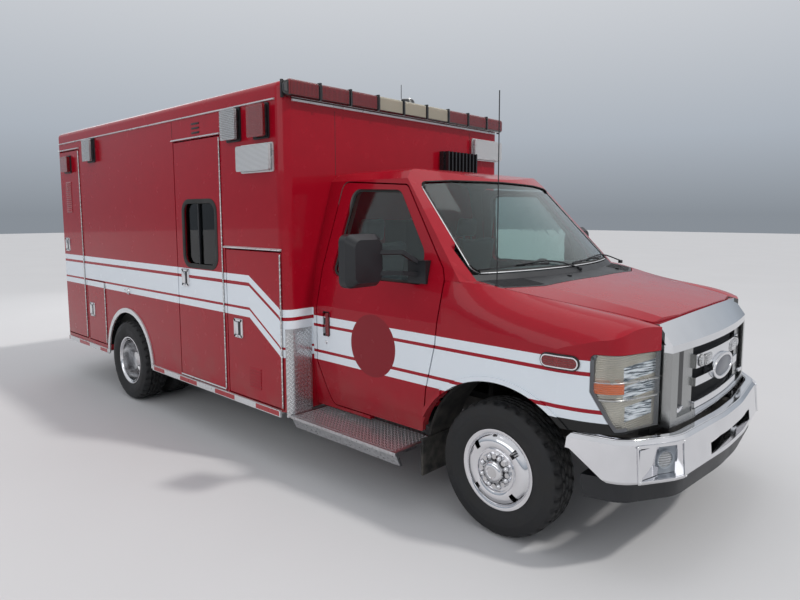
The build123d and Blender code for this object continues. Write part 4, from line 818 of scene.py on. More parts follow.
FINISHES = {}
PAINTED = {
    # finish: nodes that wear it
    "module_paint": (
        "module_sides", "module_ends", "module_roof", "side_entry_door", "curb_front_door", "curb_low_door",
        "curb_rear_door", "street_front_door", "street_rear_door", "rear_door_left", "rear_door_right",
    ),
    "cab_paint": ("hood", "fenders", "cab_roof", "cab_frame", "cab_door_right", "cab_door_left"),
    "windscreen_glass": ("windshield", "cab_glass_right", "cab_glass_left"),
    "dark_glass": ("side_entry_glass", "rear_glass_left", "rear_glass_right"),
    "black_plastic": ("cowl", "mirror_right", "mirror_left", "bumper_valance", "steering_wheel", "antennas"),
    "grille_plating": ("grille",),
    "chrome": ("front_bumper",),
    "core": ("radiator",),
    "chassis_black": ("chassis_frame", "axles", "driveline"),
    "cast_iron": ("engine_block", "knuckle_right", "knuckle_left"),
    "dash_plastic": ("dashboard",),
    "seat_cloth": ("cab_seats",),
    "laminate": ("patient_interior", "module_floor"),
    "polished_steel": ("rim_front_right", "rim_front_left", "rims_rear_right", "rims_rear_left"),
    "tyre_rubber": ("tyre_front_right", "tyre_front_left", "tyres_rear_right", "tyres_rear_left"),
    "light_bar": ("light_bar",),
    "lamp_housing": ("module_lamps",),
    "bright_trim": ("bright_trim",),
    "tread_plate": ("tread_plate",),
    "rubber": ("splash_guards",),
    "headlamp_lens": ("headlamps",),
}
PLAIN = {
    # finish: colour, second colour, roughness, scale and depth of its grain, other values
    "handle_red": ((0.2, 0.004, 0.008), (0.16, 0.003, 0.006), 0.25, 60, 0.0001, {"coat": 0.5}),
    "tread_bar": ((0.82, 0.82, 0.83), (0.7, 0.7, 0.71), 0.2, 90, 0.0001, {"metal": 0.9}),
    "black_plastic": ((0.012, 0.013, 0.016), (0.007, 0.008, 0.01), 0.38, 220, 0.0006, {}),
    "bench_vinyl": ((0.05, 0.07, 0.12), (0.04, 0.055, 0.1), 0.45, 180, 0.0008, {"coat": 0.1}),
    "cabinet_white": ((0.62, 0.63, 0.62), (0.56, 0.57, 0.56), 0.35, 80, 0.0002, {}),
    "chrome": ((0.8, 0.8, 0.82), (0.74, 0.74, 0.76), 0.07, 40, 0.0001, {"metal": 1.0, "spread": 0.05}),
    "chassis_black": ((0.02, 0.02, 0.02), (0.03, 0.028, 0.026), 0.6, 40, 0.001, {"dusty": 0.6}),
    "cast_iron": ((0.1, 0.095, 0.09), (0.06, 0.05, 0.045), 0.7, 90, 0.0015, {"metal": 0.4}),
    "dash_plastic": ((0.14, 0.14, 0.14), (0.1, 0.1, 0.1), 0.6, 260, 0.001, {}),
    "laminate": ((0.5, 0.5, 0.48), (0.45, 0.45, 0.43), 0.4, 60, 0.0003, {}),
    "polished_steel": (
        (0.72, 0.72, 0.73), (0.62, 0.62, 0.63), 0.16, 60, 0.0003, {"metal": 1.0, "dusty": 0.15}
    ),
    "bright_trim": ((0.75, 0.76, 0.77), (0.66, 0.67, 0.68), 0.28, 70, 0.0003, {"metal": 0.55}),
    "rubber": ((0.02, 0.02, 0.02), (0.03, 0.029, 0.028), 0.75, 120, 0.001, {"dusty": 0.5}),
    "badge_grey": ((0.05, 0.065, 0.095), (0.04, 0.05, 0.075), 0.3, 120, 0.0002, {"metal": 0.6, "coat": 0.5}),
    "pocket_grey": ((0.30, 0.33, 0.37), (0.25, 0.28, 0.31), 0.4, 90, 0.0003, {"coat": 0.2}),
    "mirror_glass": (
        (0.85, 0.87, 0.88), (0.82, 0.84, 0.85), 0.02, 3, 0.00005, {"metal": 1.0, "spread": 0.02}
    ),
    "hinge_steel": ((0.66, 0.66, 0.66), (0.42, 0.42, 0.42), 0.24, 60, 0.0003, {"metal": 0.9}),
    "bezel_grey": ((0.13, 0.14, 0.15), (0.1, 0.1, 0.11), 0.32, 120, 0.0002, {"metal": 0.5, "coat": 0.4}),
}


class AMBULANCE_OT_finishes(bpy.types.Operator):
    """Mix the finishes and give them to the frame's nodes"""

    bl_idname = "ambulance.finishes"
    bl_label = "Finishes"

    def execute(self, context):
        lamps = settings("lamp")
        for name, (*values, others) in PLAIN.items():
            FINISHES[name] = plain_finish(name, *values, **others)
        FINISHES.update({
            "module_paint": paint_finish("module_paint", MODULE_MIDDLE, SIDE_Y - 0.06, (0.55, 0.56, 0.55)),
            "cab_paint": paint_finish("cab_paint", CAB_MIDDLE, 0.85, TRIM_GREY),
            "windscreen_glass": glass_finish("windscreen_glass", (0.55, 0.7, 0.68)),
            "dark_glass": glass_finish("dark_glass", (0.05, 0.06, 0.065)),
            "grille_plating": grille_finish(),
            "reflector_tape": tape_finish(),
            "core": core_finish(),
            "seat_cloth": fabric_finish(),
            "tyre_rubber": tyre_finish(),
            "light_bar": bar_finish(),
            "lamp_housing": lamp_box_finish(),
            "tread_plate": tread_plate_finish(),
            "headlamp_lens": cover_finish(),
            "scene_lens": lens_finish("scene_lens", (0.86, 0.88, 0.9), 2, 0.008, 0.3),
            "red_lens": lens_finish("red_lens", lamps.red, 2, 0.011),
            "amber_lens": lens_finish("amber_lens", lamps.amber, 2, 0.009, 0.15),
            "clear_lens": lens_finish("clear_lens", lamps.clear, 2, 0.012),
        })
        for finish, nodes in PAINTED.items():
            for node in nodes:
                slots = FRAME["nodes"][node].data.materials
                slots.clear()
                slots.append(FINISHES[finish])
        return {"FINISHED"}


# Tyres and wheels


TYRE_SIDE = [
    # radius, distance out from the tyre's middle: one sidewall, from its bead to its shoulder
    (0.2035, 0.0745), (0.2135, 0.0855), (0.2225, 0.0882), (0.2330, 0.0940), (0.2510, 0.1025),
    (0.2720, 0.1090), (0.2870, 0.1111), (0.2980, 0.1108), (0.3000, 0.1114), (0.3060, 0.1114),
    (0.3085, 0.1104), (0.3300, 0.1078), (0.3460, 0.1030), (0.3570, 0.0970), (0.3640, 0.0885),
    (0.3680, 0.0765),
]
GROOVES = [(0.0560, 0.0480), (0.0200, 0.0120)]  # where each groove starts and ends, out from the middle
CROWN_R = 0.3718
FRONT_WHEEL_Y, DUAL_Y = 0.8815, (0.844, 1.134)
WHEEL_BODIES = {
    # body: x of its axle, side, out from the middle of each tyre, node it stands for
    "wheel_front_right": (AXLE_X, RIGHT, (FRONT_WHEEL_Y,), "tyre_front_right"),
    "wheel_front_left": (AXLE_X, LEFT, (FRONT_WHEEL_Y,), "tyre_front_left"),
    "wheels_rear_right": (REAR_AXLE_X, RIGHT, DUAL_Y, "tyres_rear_right"),
    "wheels_rear_left": (REAR_AXLE_X, LEFT, DUAL_Y, "tyres_rear_left"),
}


def wheel_place(x, side, out):
    """Lays a wheel turned about the z axis on its axle, with z outwards."""
    return facing((x, side * out, TYRE_R), (-side, 0, 0), (0, side, 0))


def treaded_tyre():
    """A tyre at the origin: rings on the sidewalls, grooves round it and notches across its ribs."""
    values = settings("tyre")
    half = list(TYRE_SIDE)
    for start, end in GROOVES:
        half += [
            (CROWN_R, start + 0.0008), (CROWN_R - values.groove, start - 0.0008),
            (CROWN_R - values.groove, end + 0.0008), (CROWN_R, end - 0.0008),
        ]
    profile = half + [(radius, -out) for radius, out in reversed(half)]
    tyre = spun(profile, steps=values.steps, smooth=25)
    turn = math.tau / values.steps
    edit()

    def notched(every, first, low, high):
        def test(at, out):
            number = int((math.atan2(at.y, at.x) % math.tau) / turn)
            radius = math.hypot(at.x, at.y)
            return number % every == first and low < abs(at.z) < high and radius > 0.355
        return test

    for every, first, low, high, depth in (
        (3, 0, 0.060, 0.100, 0.0075), (3, 1, 0.024, 0.044, 0.004), (3, 2, -1, 0.008, 0.004)
    ):
        pick(notched(every, first, low, high))
        bpy.ops.mesh.extrude_region_shrink_fatten(TRANSFORM_OT_shrink_fatten={"value": -depth})
    leave()
    return tyre


class AMBULANCE_OT_tyres(bpy.types.Operator):
    """Model a treaded tyre and copy it to each wheel"""

    bl_idname = "ambulance.tyres"
    bl_label = "Tyres"

    def execute(self, context):
        pattern = treaded_tyre()
        for body, (x, side, outs, node) in WHEEL_BODIES.items():
            tyre = joined([copied(pattern, wheel_place(x, side, out)) for out in outs])
            finished(tyre, node + "_treaded", "tyre_rubber", body)
            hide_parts(node)
        drop(pattern)
        return {"FINISHED"}


LUG_COUNT, LUG_CIRCLE = 8, 0.083
FRONT_LINER = [
    # radius, distance out from the tyre's middle
    (0.2215, 0.0880), (0.2235, 0.0905), (0.2225, 0.0940), (0.2150, 0.0945), (0.2020, 0.0890),
    (0.1990, 0.0830), (0.1960, 0.0850), (0.1880, 0.0975), (0.1750, 0.1080), (0.1600, 0.1130),
    (0.1450, 0.1140), (0.1300, 0.1110), (0.1200, 0.1065), (0.1180, 0.1120), (0.1130, 0.1120),
    (0.1110, 0.1020), (0.0600, 0.1015), (0.0580, 0.1060), (0.0570, 0.1250), (0.0530, 0.1360),
    (0.0440, 0.1425), (0.0320, 0.1440), (0.0290, 0.1400), (0.0270, 0.1320), (0.0000, 0.1310),
]
REAR_RING = [
    # radius, distance out from the outer tyre's middle
    (0.2215, 0.0880), (0.2240, 0.0905), (0.2230, 0.0945), (0.2150, 0.0950), (0.2050, 0.0885),
    (0.2000, 0.0800), (0.1975, 0.0815), (0.2030, 0.0905),
]
LINER_FACE, HUB_FACE = 0.1015, -0.052  # where the nuts sit, out from the middle of the outer tyre
HAND_HOLE_AT, HAND_HOLE_R = 0.1655, 0.0215


def nut_covers(height):
    """Rounded chrome covers over the wheel nuts, set round the z axis."""
    cover = spun([(0.0165, 0.0), (0.0165, 0.012), (0.0140, 0.022), (0.0085, 0.0285), (0.0, 0.031)], steps=16)
    covers = []
    for number in range(LUG_COUNT):
        turn = Matrix.Rotation((number + 0.5) * math.tau / LUG_COUNT, 4, "Z")
        covers.append(copied(cover, turn @ Matrix.Translation((LUG_CIRCLE, 0, height))))
    drop(cover)
    return covers


class AMBULANCE_OT_wheels(bpy.types.Operator):
    """Model the bright liners and nut covers, and copy them to the wheels"""

    bl_idname = "ambulance.wheels"
    bl_label = "Wheels"

    def execute(self, context):
        liner = spun(FRONT_LINER, smooth=35)
        edit()
        for number in range(4):
            angle = math.radians(45 + 90 * number)
            middle = Vector((HAND_HOLE_AT * math.cos(angle), HAND_HOLE_AT * math.sin(angle)))
            pick(lambda at, out: at.z > 0.09 and (at.xy - middle).length < HAND_HOLE_R)
            bpy.ops.mesh.delete(type="FACE")
        leave()
        modify("SOLIDIFY", thickness=0.0015, offset=-1)
        front = joined([liner, *nut_covers(LINER_FACE)])
        rear = joined([spun(REAR_RING, smooth=35), *nut_covers(HUB_FACE)])
        for body, (x, side, outs, node) in WHEEL_BODIES.items():
            trim = copied(rear if "rear" in body else front, wheel_place(x, side, outs[-1]))
            finished(trim, body + "_bright_trim", "chrome", body, smooth=35)
        drop(front, rear)
        return {"FINISHED"}


# Headlamps


def shell_of(node, keep):
    """A copy of a CAD node's surface, merged, with only the faces that pass the test."""
    source = FRAME["nodes"][node]
    twin = source.copy()
    twin.data = source.data.copy()
    twin.parent = None
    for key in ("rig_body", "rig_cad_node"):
        if key in twin:
            del twin[key]
    bpy.context.scene.collection.objects.link(twin)
    chosen(twin)
    edit()
    bpy.ops.mesh.remove_doubles(threshold=0.00002)
    pick(lambda at, out: not keep(at, out))
    bpy.ops.mesh.delete(type="FACE")
    leave()
    return twin


def outward(at, out):
    """True for a headlamp's outer faces, which the lens is made of."""
    return out.x * 0.75 + out.y * math.copysign(0.65, at.y) > 0.55


def pushed(piece, distance):
    """Moves a surface along its normals."""
    chosen(piece)
    edit()
    bpy.ops.transform.shrink_fatten(value=distance)
    leave()
    return piece


BOWLS = [
    # out from the middle, height
    ((0.655, 0.862), (0.975, 1.045)),
    ((0.655, 0.862), (0.888, 0.952)),
    ((0.680, 0.850), (0.775, 0.850)),
]


def reflector_finish():
    """The lamp's inside by its place: bowls painted with streaks of reflected light, dark blue to near
    white, in a warm, ribbed surround.
    """
    m = Mixer("headlamp_reflector", Metallic=0.7)
    _, y, z = m.axes()
    out = m.math("ABSOLUTE", y)
    sag = m.times(m.math("SUBTRACT", out, 0.675), 0.12)
    level = m.math("ADD", z, sag)
    bright = m.either(*(m.times(m.between(out, *across), m.between(level, *tall)) for across, tall in BOWLS))
    rough_and_glint_streaks = m.noise(24.0, 4.0, (0.5, 0.5, 6.0))
    # Painted reflection: the bowls' colour runs in streaks from dark blue to near white, standing in for
    # reflected light; the same streaks also vary the roughness.
    painted_glints = m.span(rough_and_glint_streaks, 0.42, 0.58)
    tone = m.mix(painted_glints, (0.06, 0.09, 0.12), (0.86, 0.93, 0.98))
    base = m.mix(m.span(m.noise(9.0, 2.0), 0.3, 0.7), (0.40, 0.37, 0.30), (0.56, 0.53, 0.45))
    m.set("Base Color", m.mix(bright, base, tone))
    m.rough(rough_and_glint_streaks, 0.1, 0.24)
    m.bump(m.times(m.ribs(level, 0.011), m.math("SUBTRACT", 1.0, bright)), 0.002, 0.5)
    return m.material


AMBER_Z, AMBER_FRONT_X = (0.955, 0.898), ahead(0.655)  # the amber block's top, foot and front edge
DIVIDERS_Z, DIVIDER_HALF = (0.952, 0.868), 0.003
BEZEL_END_X, BEZEL_TOP = ahead(0.66), (1.075, ahead(0.55))  # the bezel stops here, and sooner along its top


def cut_off(place, normal):
    """In edit mode, cuts the mesh with a plane and drops what is on the normal's side."""
    whole()
    bpy.ops.mesh.bisect(plane_co=place, plane_no=normal, clear_outer=True)


class AMBULANCE_OT_headlamps(bpy.types.Operator):
    """Model the headlamps: lens, ribbed reflectors, amber block and dark bezel"""

    bl_idname = "ambulance.headlamps"
    bl_label = "Headlamps"

    def execute(self, context):
        FINISHES["reflector"] = reflector_finish()
        lens = shell_of("headlamps", outward)
        body = shell_of("headlamps", lambda at, out: not outward(at, out))
        finished(body, "headlamp_housings", "bezel_grey")
        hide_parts("headlamps")
        mirrors = pushed(copied(lens), -0.022)
        finished(mirrors, "headlamp_reflectors", "reflector", smooth=40)

        amber = copied(lens)
        edit()
        for z, side in zip(AMBER_Z, (1, -1)):
            cut_off((0, 0, z), (0, 0, side))
        cut_off((AMBER_FRONT_X, 0, 0), (1, 0, 0))
        leave()
        pushed(amber, -0.006)
        modify("SOLIDIFY", thickness=0.012, offset=-1)
        finished(amber, "headlamp_amber", "amber_lens", smooth=30)

        dividers = []
        for z in DIVIDERS_Z:
            strip = copied(lens)
            edit()
            for side in (1, -1):
                cut_off((0, 0, z + side * DIVIDER_HALF), (0, 0, side))
            leave()
            dividers.append(pushed(strip, -0.005))
        strips = joined(dividers)
        modify("SOLIDIFY", thickness=0.016, offset=-1)
        finished(strips, "headlamp_dividers", "lamp_housing")

        bezel = copied(lens)
        edit()
        bpy.ops.mesh.inset(thickness=0.017, use_boundary=True)
        bpy.ops.mesh.delete(type="FACE")
        pick(lambda at, out: at.x > BEZEL_END_X or (at.z > BEZEL_TOP[0] and at.x > BEZEL_TOP[1]))
        bpy.ops.mesh.delete(type="FACE")
        leave()
        pushed(bezel, 0.0008)
        modify("SOLIDIFY", thickness=0.01, offset=-1)
        finished(bezel, "headlamp_bezels", "bezel_grey", smooth=30)

        chosen(lens)
        modify("SOLIDIFY", thickness=0.003, offset=-1)
        finished(lens, "headlamp_lenses", "headlamp_lens", smooth=40)
        return {"FINISHED"}


# Nose: grille, bumper, wipers and markers


def body_of(node):
    """The body that a CAD node rides on."""
    return FRAME["nodes"][node]["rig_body"]


def rim_over(node, towards, lift, thick, width):
    """A thin rim over a CAD node: the edge of its faces on one side."""
    towards = Vector(towards)
    layer = shell_of(node, lambda at, out: out.dot(towards) > 0.35)
    edit()
    bpy.ops.mesh.inset(thickness=width, use_boundary=True)
    bpy.ops.mesh.delete(type="FACE")
    leave()
    pushed(layer, lift)
    modify("SOLIDIFY", thickness=thick, offset=-1)
    return layer


def wrapped(points, node, matrix, thick, width=None, cuts=3):
    """A plate, or a band of this width, laid on a CAD node's curved surface along the matrix's z axis."""
    draw([(x, y, 0) for x, y in points])
    bpy.ops.mesh.edge_face_add()
    if width:
        bpy.ops.mesh.inset(thickness=width)
        bpy.ops.mesh.delete(type="FACE")
        whole()
    else:
        bpy.ops.mesh.quads_convert_to_tris()
    bpy.ops.mesh.subdivide(number_cuts=cuts)
    leave()
    written()
    piece = bpy.context.object
    piece.matrix_world = matrix @ Matrix.Translation((0, 0, 0.15))
    modify(
        "SHRINKWRAP", target=FRAME["nodes"][node], wrap_method="PROJECT", use_project_z=True,
        use_negative_direction=True, use_positive_direction=False, offset=0.0005,
    )
    laid(piece, Matrix.Identity(4))
    edit()
    outwards()
    leave()
    outward = matrix.to_3x3() @ Vector((0, 0, 1))
    if sum(face.normal.dot(outward) for face in piece.data.polygons) < 0:
        turned_over(piece)
    modify("SOLIDIFY", thickness=thick, offset=1)
    return piece


GRILLE_ENDS_X, GRILLE_MIDDLE_X, GRILLE_HALF = ahead(0.785), ahead(0.834), 0.64
GRILLE_OPENING = (0.576, 0.742, 1.074)  # half width, lowest, highest
WIRE_PITCH = 0.0135
CROSS_WIRES_Z = (0.80, 0.835, 0.93, 1.045)
FOOT_BAR_Z, FOOT_BAR_TALL = 0.744, 0.036
LEDGE_Y, LEDGE_Z = 0.538, (0.766, 0.790)  # the small plated ledges at the uprights' feet
OVAL_Z = 0.912
ROUND_LAMP_AT, SQUARE_LAMP_AT = (0.315, 0.991), (0.222, 0.985)  # out from the middle, height
ROUND_LAMP_RIM = [(0.0265, 0), (0.0265, 0.008), (0.031, 0.009), (0.034, 0.006), (0.034, 0)]


def bow(y):
    """How far ahead the grille's bowed front is at a distance across."""
    return GRILLE_MIDDLE_X - (GRILLE_MIDDLE_X - GRILLE_ENDS_X) * (y / GRILLE_HALF) ** 2


def oval(width, height, steps=48):
    """Outline of an oval about the origin."""
    return [
        (width / 2 * math.cos(math.tau * step / steps), height / 2 * math.sin(math.tau * step / steps))
        for step in range(steps)
    ]


class AMBULANCE_OT_grille(bpy.types.Operator):
    """Model the grille's fine wires, its small lamps and the plain oval plate"""

    bl_idname = "ambulance.grille"
    bl_label = "Grille"

    def execute(self, context):
        half, low, high = GRILLE_OPENING
        count = int(half / WIRE_PITCH)
        wire = slab((-0.002, -0.0018, low), (0.006, 0.0018, high), 0.0008, 1)
        wires = []
        for number in range(-count, count + 1):
            y = number * WIRE_PITCH
            wires.append(copied(wire, Matrix.Translation((bow(y) - 0.052, y, 0))))
        for z in CROSS_WIRES_Z:
            run = [(bow(y) - 0.056, y, z) for y in (-half, -0.4, -0.2, 0, 0.2, 0.4, half)]
            wires.append(tube(run, 0.003))
        drop(wire)
        finished(joined(wires), "grille_wires", "black_plastic")

        ys = [GRILLE_BARS_HALF * (step / 6 - 1) for step in range(13)]
        front = [(bow(y) - 0.006, y) for y in ys]
        back = [(bow(y) - 0.05, y) for y in reversed(ys)]
        ledges = [moved(plate(front + back, FOOT_BAR_TALL, 0.006), 0, 0, FOOT_BAR_Z)]
        for side in (RIGHT, LEFT):
            ledge = slab((-0.03, -0.038, LEDGE_Z[0]), (0.001, 0.038, LEDGE_Z[1]), 0.005)
            ledges.append(moved(ledge, bow(LEDGE_Y), side * LEDGE_Y, 0))
        finished(joined(ledges), "grille_foot_bar", "chrome", smooth=30)

        ring = band(oval(0.344, 0.144), 0.019, 0.010, 0.0, 0.004)
        laid(ring, on_front(0, OVAL_Z, GRILLE_MIDDLE_X + 0.003))
        finished(ring, "grille_oval_ring", "chrome", smooth=50)
        badge = laid(plate(oval(0.304, 0.104), 0.006, 0.002), on_front(0, OVAL_Z, GRILLE_MIDDLE_X))
        finished(badge, "grille_oval_plate", "badge_grey", smooth=50)

        lamps, rims = [], []
        for side in (RIGHT, LEFT):
            y, z = ROUND_LAMP_AT
            place = on_front(side * y, z, bow(y) - 0.004)
            lamps.append(laid(disc((0, 0, 0.004), 0.026, 0.014, around=28, ease=0.005, rounds=3), place))
            rims.append(laid(spun(ROUND_LAMP_RIM, 28), place))
            y, z = SQUARE_LAMP_AT
            place = on_front(side * y, z, bow(y) - 0.004)
            lamps.append(laid(plate(rounded(0.088, 0.044, 0.006, 3), 0.010, 0.003), place))
            rims.append(laid(band(rounded(0.104, 0.058, 0.010, 3), 0.0075, 0.007, 0, 0.002), place))
        finished(joined(lamps), "grille_lamps", "clear_lens", smooth=40)
        finished(joined(rims), "grille_lamp_rims", "lamp_housing", smooth=40)
        return {"FINISHED"}


BUMPER_TOP_Z = 0.69
FOG_Y, FOG_Z = (0.672, 0.880), (0.505, 0.655)
# A fog lamp's bowl and lens, turned about its axis: radius, distance out
FOG_BOWL = [(0.0, 0.0), (0.030, 0.002), (0.040, 0.008), (0.043, 0.014), (0.047, 0.014), (0.047, 0.0)]
FOG_LENS = [(0.0, 0.013), (0.024, 0.0115), (0.040, 0.008), (0.040, 0.006), (0.0, 0.006)]


def seen(node, start, way):
    """Where a line of sight from a place first meets a CAD node."""
    hit, place, _, _ = FRAME["nodes"][node].ray_cast(Vector(start), Vector(way))
    if not hit:
        raise RuntimeError(f"no {node} is seen from {start}")
    return place


def surface_x(node, y, z):
    """How far ahead a CAD node's surface is, looked at from in front."""
    return seen(node, (CAD_BOX[1][0] + 1, y, z), (-1, 0, 0)).x


def surface_y(node, side, x, z):
    """How far out a CAD node's surface is, looked at from the side."""
    return abs(seen(node, (x, side * 3, z), (0, -side, 0)).y)


class AMBULANCE_OT_bumper(bpy.types.Operator):
    """Model the bumper's ridged top, the fog lamp pockets and their screws"""

    bl_idname = "ambulance.bumper"
    bl_label = "Bumper"

    def execute(self, context):
        pad = shell_of("front_bumper", lambda at, out: out.z > 0.95 and at.z > BUMPER_TOP_Z - 0.004)
        edit()
        for thickness, height in ((0.006, 0.0035), (0.011, -0.0035), (0.007, 0.0035)):
            bpy.ops.mesh.inset(thickness=thickness, use_boundary=True)
            extrude((0, 0, height))
        leave()
        pushed(pad, 0.0004)
        finished(pad, "bumper_top_ridges", "chrome", smooth=30)

        (y0, y1), (z0, z1) = FOG_Y, FOG_Z
        z = (z0 + z1) / 2
        near, far = (Vector((surface_x("front_bumper", -y, z), -y, z)) for y in (y0 - 0.012, y1 + 0.012))
        wide, tall = (far - near).length, z1 - z0
        inwards = (near - far).normalized()
        out = Vector((0, 0, 1)).cross(inwards) * -1
        place = facing((near + far) / 2, inwards, out)
        outline = rounded(wide + 0.012, tall + 0.036, 0.012, 4)
        frame = wrapped(outline, "front_bumper", place, 0.007, width=0.0165)
        facet = plate(rounded(wide * 0.5, tall - 0.004, 0.004, 2), 0.004, 0.001)
        slope = Matrix.Rotation(math.radians(14), 4, "Y")
        laid(facet, place @ Matrix.Translation((-wide * 0.25, 0, -0.010)) @ slope)
        back = plate(rounded(wide - 0.030, tall - 0.003, 0.006, 3), 0.002)
        laid(back, place @ Matrix.Translation((0, 0, -0.030)))
        seat = place @ Matrix.Translation((0.036, 0, -0.028))
        bowl = laid(spun(FOG_BOWL, 36), seat)
        lens = laid(spun(FOG_LENS, 36), seat)
        screws = []
        for dx in (-wide / 2, wide / 2):
            for dz in (-tall / 2 - 0.008, tall / 2 + 0.008):
                spot = place @ Vector((dx, dz, 0))
                spot.x = surface_x("front_bumper", spot.y, spot.z)
                head = disc((0, 0, 0), 0.0055, 0.005, around=12, ease=0.0015, rounds=1)
                screws.append(laid(head, Matrix.Translation(spot + out * 0.008) @ place.to_3x3().to_4x4()))
        frames = both_sides(frame) + both_sides(facet)
        linings = both_sides(back) + both_sides(bowl)
        lamps = both_sides(lens)
        screws = both_sides(joined(screws))
        finished(joined(frames), "fog_lamp_frames", "chrome", smooth=30)
        finished(joined(linings), "fog_lamp_pockets", "pocket_grey", smooth=30)
        finished(joined(lamps), "fog_lamp_lenses", "clear_lens", smooth=40)
        finished(joined(screws), "fog_lamp_screws", "bright_trim", smooth=30)
        return {"FINISHED"}


WIPERS = [
    # pivot, elbow and the blade's two ends: ahead of the front axle, across, height
    ((-0.080, 0.075, 1.384), (-0.150, -0.190, 1.437), (-0.262, -0.800, 1.424), (-0.142, -0.220, 1.436)),
    ((-0.120, 0.800, 1.388), (-0.165, 0.560, 1.440), (-0.112, 0.035, 1.425), (-0.205, 0.640, 1.432)),
]
WASHER_JETS = [(-0.012, -0.19, 1.366), (-0.030, 0.543, 1.361)]
COWL_RIBS = 17
WIPER_LIFT = Vector((0.012, 0, 0.016))  # from the glass to the arm
WIPER_SPINE = [(0, 0), (0.25, 0.35), (0.5, 0.45), (0.75, 0.35), (1, 0)]  # share of the blade, of the lift


def cowl_run(y):
    """Points over the cowl's slope, from the glass's foot to short of the hood."""
    points = []
    for step in range(60):
        start = Vector((ahead(-0.24) + step * 0.006, y, 3))
        hit, place, normal, _ = FRAME["nodes"]["cowl"].ray_cast(start, Vector((0, 0, -1)))
        if hit and normal.z > 0.9 and place.z < 1.385:
            points.append(place)
    return points[1:-3]


class AMBULANCE_OT_wipers(bpy.types.Operator):
    """Model the wipers, the washer jets and the cowl's ribs"""

    bl_idname = "ambulance.wipers"
    bl_label = "Wipers"

    def execute(self, context):
        parts = []
        for pivot, elbow, near, far in WIPERS:
            pivot, elbow, near, far = (
                Vector((ahead(point[0]), point[1], point[2])) for point in (pivot, elbow, near, far)
            )
            middle = (near + far) / 2
            parts.append(disc(pivot + Vector((0, 0, 0.006)), 0.016, 0.022, around=20, ease=0.004))
            arm = [pivot + Vector((0, 0, 0.014)), elbow + WIPER_LIFT, middle + WIPER_LIFT * 0.9]
            parts.append(tube(arm, 0.0048))
            spine = [near.lerp(far, share) + WIPER_LIFT * rise for share, rise in WIPER_SPINE]
            parts.append(tube(spine, 0.0038))
            half = (far - near).length / 2
            blade = slab((-half, -0.0035, -0.006), (half, 0.0035, 0.008), 0.0012, 1)
            turn = (far - near).to_track_quat("X", "Z").to_matrix().to_4x4()
            parts.append(laid(blade, Matrix.Translation(middle + Vector((0.002, 0, 0.003))) @ turn))
            for share in (0.25, 0.5, 0.75):
                at = near.lerp(far, share) + WIPER_LIFT * 0.25
                low, high = at - Vector((0.006, 0.012, 0.004)), at + Vector((0.006, 0.012, 0.008))
                parts.append(slab(low, high, 0.002, 1))
        finished(joined(parts), "wipers", "black_plastic", smooth=30)

        jets = []
        for x, y, z in WASHER_JETS:
            at = Vector((ahead(x), y, z))
            jets.append(slab(at - Vector((0.012, 0.011, 0.002)), at + Vector((0.012, 0.011, 0.009)), 0.004))
        finished(joined(jets), "washer_jets", "black_plastic", smooth=30)

        ribs = []
        for side in (RIGHT, LEFT):
            for number in range(COWL_RIBS):
                run = cowl_run(side * (0.56 + 0.0165 * number))
                ribs.append(tube([run[0], run[len(run) // 2], run[-1]], 0.0032, sides=1))
        finished(joined(ribs), "cowl_ribs", "black_plastic", smooth=30)
        return {"FINISHED"}


PANE_SEALS = {
    # pane: its outer side, width of the seal
    "cab_glass_right": ((0, -1, 0), 0.016),
    "cab_glass_left": ((0, 1, 0), 0.016),
    "windshield": ((0.7, 0, 0.7), 0.022),
}
MARKER_AT = (ahead(0.371), 1.034)
MARKER_LAYERS = [
    # piece, finish, slot, outline's width, height and radius, thickness, width if it is a band, cuts
    ("fender_markers", "red_lens", "lamp", (0.178, 0.050, 0.024), 0.010, None, 3),
    ("fender_marker_bezels", "chrome", "chrome", (0.190, 0.062, 0.030), 0.013, 0.006, 1),
    ("fender_marker_gaskets", "rubber", "rubber", (0.204, 0.076, 0.037), 0.007, 0.007, 1),
]
MIRROR_GLASS_AT = (1.275, 1.485, ahead(-0.7725))  # out from the middle, height, ahead
CAB_HANDLE_X, CAB_HANDLE_Z, CAB_LOCK_Z = ahead(-1.384), 1.008, 0.881
CAB_LOCK = [(0.013, -0.001), (0.013, 0.003), (0.010, 0.005), (0.008, 0.0035), (0.0, 0.0035)]


